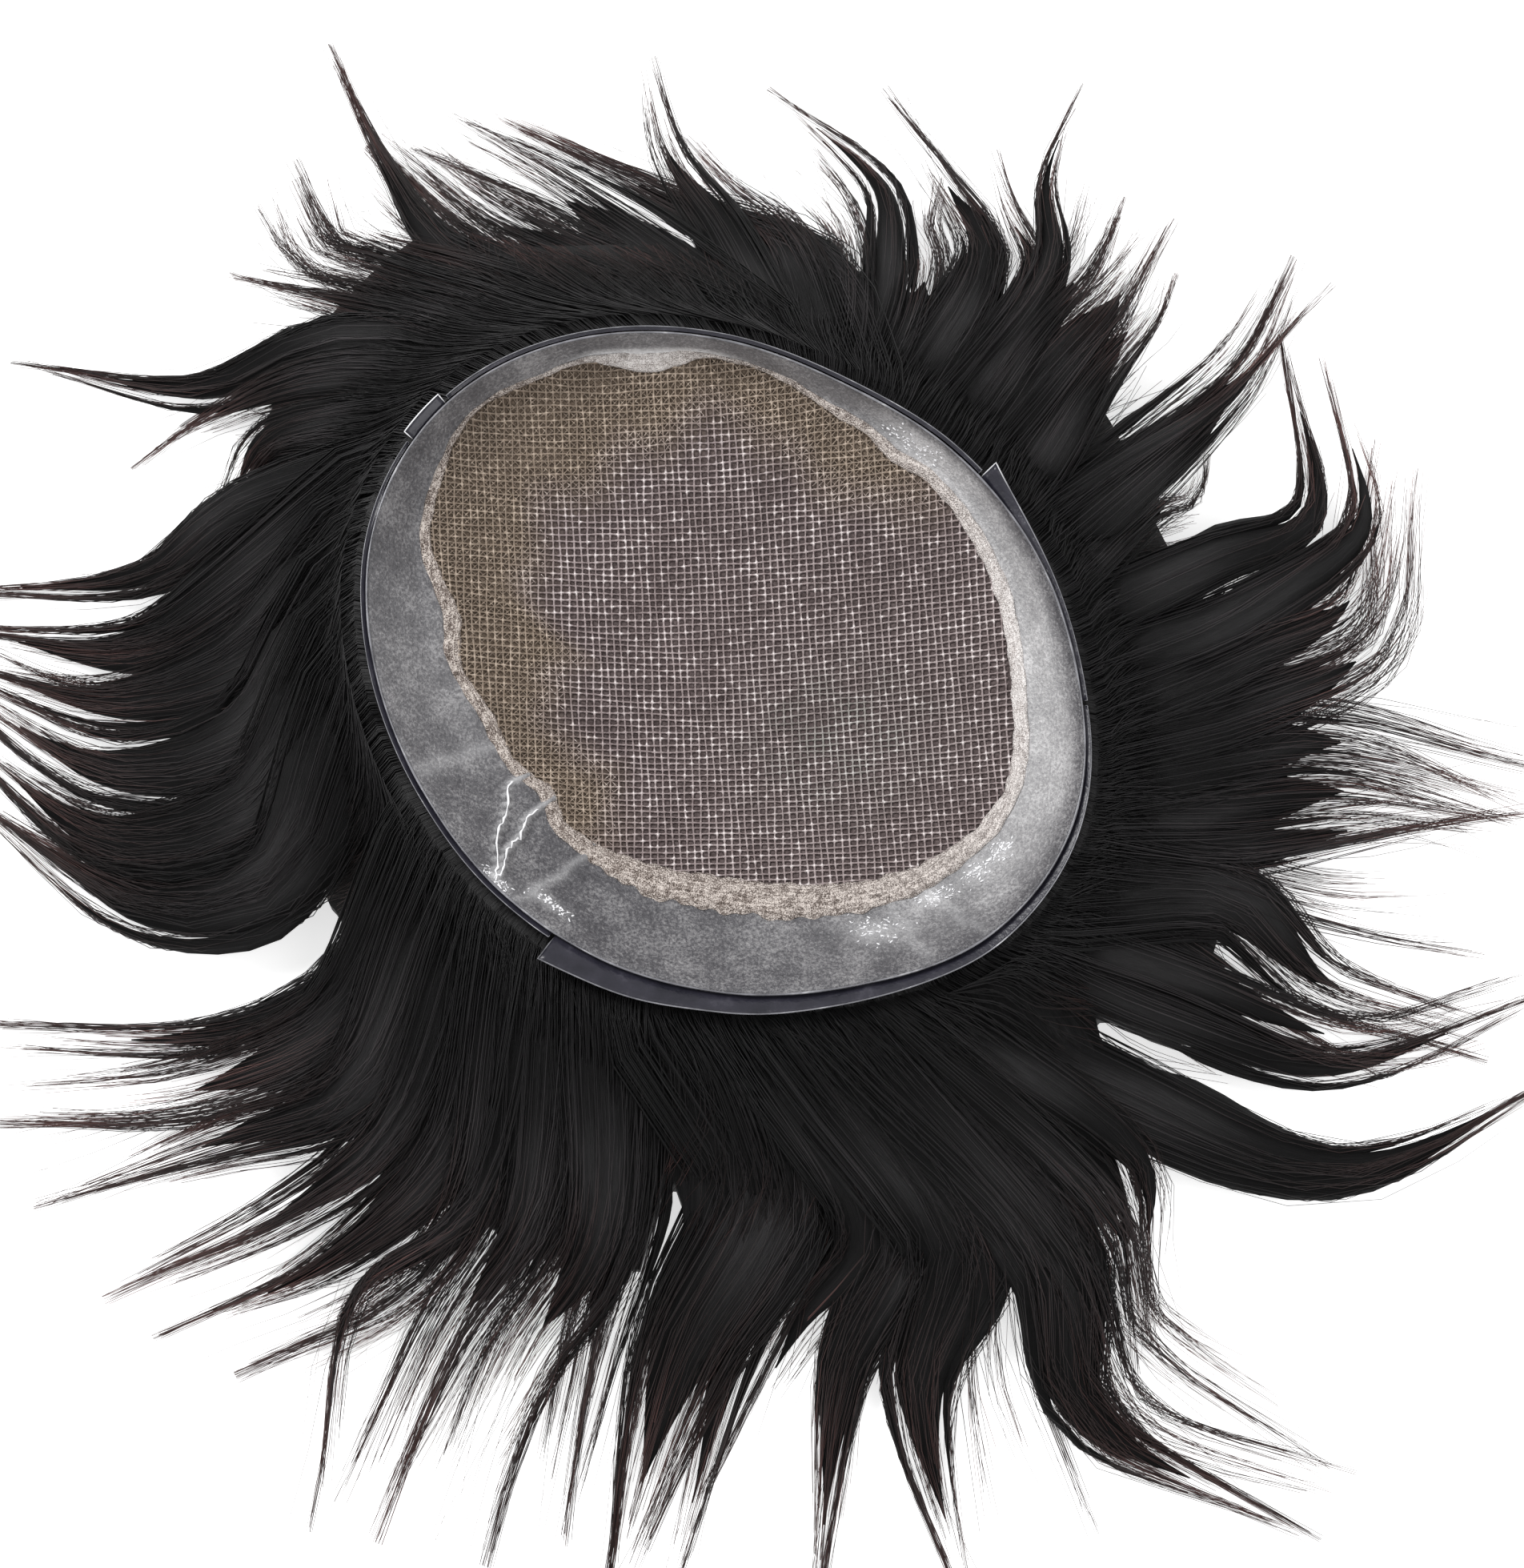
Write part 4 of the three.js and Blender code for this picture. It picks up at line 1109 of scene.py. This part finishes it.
def undercoat_strands(first, last, count, rng):
    """Shorter strands over the hair mass between the locks, combed the way their neighbours go."""
    roots, bends, knees = np.array([(row[0], row[1], row[3]) for row in LOCKS], float).T
    at = rng.uniform(first, last, count)
    sweep = np.interp(at, roots, bends - roots, period=360)
    curl = np.interp(at, roots, knees - bends, period=360)
    bend = at + 0.85 * sweep
    tip = bend + 0.5 * curl + rng.normal(0, 1.2, count)
    reach = around(bend, "fill") * rng.triangular(0.6, 0.95, 1.15, count)
    reach = np.minimum(reach, gap_reach(tip) * rng.uniform(0.9, 1.1, count))
    knots = lock_knots(np.stack([at, at + 0.6 * sweep, 0.35 * reach, bend, 0.7 * reach, tip, reach], 1))
    turn = np.degrees(np.arctan2(knots[..., 1], knots[..., 0]))
    out = np.hypot(knots[..., 0], knots[..., 1]) - rim_radius(turn)
    over = mat_height(turn, out) + rng.uniform(-0.6, 2.0, (count, 1))
    beyond = out > around(turn, "mat") * HAIR_REACH
    knots[..., 2] = np.where(beyond, rng.uniform(2, 7, (count, 1)), over)
    shade = clamp(rng.normal(0.3, 0.1, (count, 1)) + 0.12 * np.sin(at * 0.9)[:, None])
    paths = with_roots(smooth_line(knots, STRAND_STEPS - 2), at - 0.1 * sweep)
    return paths, np.repeat(shade, STRAND_STEPS, 1), np.full(count, 1.0)


def strand_piece(name, locks, rng):
    """All the strands of one quarter, as one mesh."""
    weights = np.array([lock.half_root * (1 + 0.6 * lock.fan) + 2 for lock in locks])
    in_locks = STRANDS_PER_QUARTER * (1 - UNDERCOAT_SHARE)
    counts = np.round(in_locks * weights / weights.sum()).astype(int)
    groups = [lock_strands(lock, int(count), rng) for lock, count in zip(locks, counts)]
    groups.append(undercoat_strands(*QUARTERS[name], int(STRANDS_PER_QUARTER * UNDERCOAT_SHARE), rng))
    paths, shades, sizes = (np.concatenate(column) for column in zip(*groups))
    paths[..., 2] = np.maximum(paths[..., 2], STRAND_CLEARANCE)
    along = np.linspace(0, 1, STRAND_STEPS)
    thick = STRAND_RADIUS * sizes[:, None] * rng.uniform(0.7, 1.2, (len(paths), 1))
    points, quads, triangles = tube_arrays(paths, thick * (1 - STRAND_TAPER * along**1.6), STRAND_SIDES)
    uv = np.stack(np.broadcast_arrays(along[:, None], shades[..., None], np.zeros(STRAND_SIDES))[:2], -1)
    return make_mesh(name + "_strands", points, quads, triangles, uv={"OFBake": uv, "Strand": uv})


CORE_STEPS = 24
CORE_SIDES = 12
CORE_TEXTURE = 3
PRONG_STEPS = 12
PRONG_SIDES = 6
PRONG_TEXTURE = 1
LEAST_HALF = 0.2
LEAST_PRONG_HALF = 0.12
DEGREES_PER_TEXTURE = 12

# Under the base, from the net's edge to the rim: way, and how deep under it the hair mass starts
MAT_UNDER = ((1.02, 1.8), (2.0, 1.8), (2.35, 2.8), (2.8, 2.8))
MAT_UNDER_ALONG = (-0.4, -0.25, -0.15, -0.05)
MAT_STEPS_ROUND = 101
MAT_STEPS_OUT = 15
CROWN_DEPTH = 1.3


def lens_arrays(path, side, half, thick, sides, texture_width, light):
    """A closed body round a path: flat across it, pointed at its ends, grooved along its length."""
    steps = len(path)
    turn = np.arange(sides) / sides
    angle = 2 * math.pi * turn
    groove = 1 + 0.06 * np.sin(angle * 5 + np.linspace(0, 6, steps)[:, None])
    points = path[:, None] + side[:, None] * (np.cos(angle) * half[:, None] * groove)[..., None]
    points[..., 2] = np.maximum(points[..., 2] + np.sin(angle) * thick[:, None] * groove, CORE_CLEARANCE)
    along = np.linspace(0, 1, steps)[:, None]
    marks = np.stack(np.broadcast_arrays(along, turn * texture_width, light(np.cos(angle)[None])), -1)
    fan = np.array([[0, k + 1, k] for k in range(1, sides - 1)])
    triangles = np.concatenate([fan, fan[:, ::-1] + (steps - 1) * sides])
    return points.reshape(-1, 3), grid_quads(steps, sides, wrap_columns=True), triangles, marks.reshape(-1, 3)


def core_parts(lock):
    """A lock's packed middle, and the middles of its prongs, which end short of their tips."""
    end = 0.92 - 0.42 * lock.fan
    t = np.linspace(0, end, CORE_STEPS)
    taper = clamp(1 - (t / end) ** 3) * (0.35 + 0.65 * clamp(t / 0.14))
    half = np.maximum(0.85 * lock.half(t) * taper, LEAST_HALF)
    thick = np.maximum(0.8 * lock.thick(t) * taper, LEAST_HALF)
    path = lock.point(t, np.zeros_like(t), 0)
    parts = [lens_arrays(path, at_places(lock.side, t), half, thick, CORE_SIDES, CORE_TEXTURE,
                         lambda own, t=t: lock.light(t[:, None], own))]
    for prong, reach in enumerate(lock.reach):
        t = np.linspace(0.3, (0.93 - 0.36 * lock.fan) * reach, PRONG_STEPS)
        way = np.linspace(0, 1, PRONG_STEPS)
        body = clamp(np.minimum(way / 0.2, (1 - way) / 0.75))
        half = np.maximum(lock.half(t) / len(lock.reach) * (0.95 - 0.4 * lock.fan) * body, LEAST_PRONG_HALF)
        thick = np.maximum(half * 0.6, LEAST_PRONG_HALF)
        path = lock.point(t, lock.offset(prong, t), 0.1 * lock.thick(t))
        side = at_places(lock.side, np.minimum(t, 1))
        parts.append(lens_arrays(path, side, half, thick, PRONG_SIDES, PRONG_TEXTURE,
                                 lambda _, t=t, own=lock.places[prong]: lock.light(t[:, None], own)))
    return parts


def down_to_floor(top):
    """Closes the sections of a surface with a flat underside just above the floor."""
    low = top.copy()
    low[..., 2] = FLOOR_CLEARANCE
    return np.concatenate([top, low[:, ::-1]], 1)


def core_mat(first, last):
    """The hair mass of a quarter, under the film and out over the rim's back, combed into low ridges."""
    turns = np.linspace(first, last, MAT_STEPS_ROUND)
    under = [below(turns, np.full_like(turns, way), np.full_like(turns, depth)) for way, depth in MAT_UNDER]
    outs = np.linspace(0, 1, MAT_STEPS_OUT)
    turn, out = np.broadcast_arrays(turns[:, None], outs)
    reach = HAIR_BEHIND_RIM + out * np.minimum(around(turn, "mat"), gap_reach(turn)) * HAIR_REACH
    swirl = turn - reach * 0.15
    ridge = np.sin(swirl * 0.9) + 0.8 * np.sin(swirl * 2.3 + 1) + 0.4 * np.sin(swirl * 5.1 + out * 3)
    height = mat_height(turn, reach) - 1.8 + 1.1 * ridge * np.sin(np.pi * out)
    over = polar(turn, rim_radius(turn) + reach, np.maximum(height, MAT_CLEARANCE))
    ring = down_to_floor(np.concatenate([np.stack(under, 1), over], 1))
    along = np.concatenate([MAT_UNDER_ALONG, outs])
    # Painted sheen on the ridges and painted shade between them; none under the film
    light = np.concatenate([np.zeros((len(turns), len(MAT_UNDER))), 0.07 * ridge * np.sin(np.pi * out)], 1)
    light = np.concatenate([light, light[:, ::-1]], 1)
    across = turns[:, None] / DEGREES_PER_TEXTURE
    marks = np.stack(np.broadcast_arrays(np.concatenate([along, along[::-1]]), across, light), -1)
    quads = ring_quads(*ring.shape[:2], False)
    return ring.reshape(-1, 3), quads, np.zeros((0, 3), int), marks.reshape(-1, 3)


def core_piece(name, locks):
    parts = [core_mat(*QUARTERS[name])]
    for lock in locks:
        parts += core_parts(lock)
    points, quads, triangles, marks = join(parts)
    light = {"light": marks[:, 2]}
    return make_mesh(name + "_core", points, quads, triangles, uv={"Strand": marks[:, :2]}, values=light)


def crown_piece():
    """The hair pressed flat under the net."""
    ways = np.concatenate([[FIRST_WAY], np.linspace(0.15, 0.99, 8)])
    turn, way = np.broadcast_arrays(COARSE_TURNS[:, None], ways)
    ring = down_to_floor(below(turn, way, np.full(way.shape, CROWN_DEPTH)))
    across = COARSE_TURNS[:, None] / DEGREES_PER_TEXTURE
    uv = np.stack(np.broadcast_arrays(np.concatenate([ways, ways[::-1]]), across), -1)
    return make_mesh("crown_core", ring, ring_quads(*ring.shape[:2], True), uv={"Strand": uv})


# The stage

FLOOR_REACH = 6000
FLOOR_GLOW = 0.65
SKY_STRENGTH = 0.75


def add_light(name, kind, place, energy, size, target):
    data = bpy.data.lights.new(name, kind)
    data.energy = energy
    data.size = size
    lamp = bpy.data.objects.new(name, data)
    lamp.location = place
    aim = Vector(target) - Vector(place)
    lamp.rotation_euler = aim.to_track_quat("-Z", "Y").to_euler()
    bpy.context.scene.collection.objects.link(lamp)


def studio():
    corners = np.array([[-1, -1, 0], [1, -1, 0], [1, 1, 0], [-1, 1, 0]]) * FLOOR_REACH
    floor = make_mesh("floor", corners, [[0, 1, 2, 3]])
    floor.data.materials.append(floor_material())
    world = bpy.data.worlds.new("studio")
    world.use_nodes = True
    background = world.node_tree.nodes["Background"].inputs
    background["Color"].default_value = (1, 1, 1, 1)
    background["Strength"].default_value = SKY_STRENGTH
    bpy.context.scene.world = world
    add_light("key", "AREA", (-0.9, 0.7, 1.3), 22, 0.7, (0, 0, 0.03))
    add_light("fill", "AREA", (0.9, -0.5, 1.5), 8, 1.0, (0, 0, 0.03))
    bpy.context.scene.view_settings.view_transform = "Standard"


def camera():
    """The photograph's view: the rim's centre at its pixel, seen from the near side and well above."""
    elevation = math.radians(CAMERA_ELEVATION)
    right = np.array([1.0, 0, 0])
    back = np.array([0, -math.cos(elevation), math.sin(elevation)])
    up = np.cross(back, right)
    aim = BASE_PLACE + [0, 0, RIM_HEIGHT]
    eye = aim - right * (RIM_CENTRE_X - PHOTO_WIDTH / 2) * PIXEL_MM
    eye = eye - up * (PHOTO_HEIGHT / 2 - RIM_CENTRE_Y) * PIXEL_MM + back * CAMERA_DISTANCE
    data = bpy.data.cameras.new("camera")
    data.sensor_fit = "AUTO"
    data.lens = data.sensor_width * CAMERA_DISTANCE / (PHOTO_HEIGHT * PIXEL_MM)
    view = bpy.data.objects.new("camera", data)
    turned = np.stack([right, up, back], 1)
    view.matrix_world = Matrix([[*row, place] for row, place in zip(turned, eye * MM)] + [[0, 0, 0, 1]])
    bpy.context.scene.collection.objects.link(view)
    bpy.context.scene.camera = view


def build():
    rng = np.random.default_rng(SEED)
    camera()
    studio()
    dress(net_threads(rng), thread_material(), "net", "net_base")
    dress(net_backing(), backing_material(), "net")
    dress(seam_lace(), seam_material(), "seam", "seam_band")
    dress(film_piece(), film_material(), "film", "pu_perimeter")
    dress(film_edges(rng), edge_material(), "film")
    tape_look = tape_material()
    for name in TAPES:
        dress(tape_piece(name), tape_look, "tape", name)
    strand_look, core_look = strand_material(), core_material()
    dress(crown_piece(), core_look, "hair", "hair_crown")
    for name, (first, last) in QUARTERS.items():
        locks = [Lock(row, rng) for row in LOCKS if first <= row[0] < last]
        dress(core_piece(name, locks), core_look, "hair", name)
        dress(strand_piece(name, locks, rng), strand_look, "hair")


build()
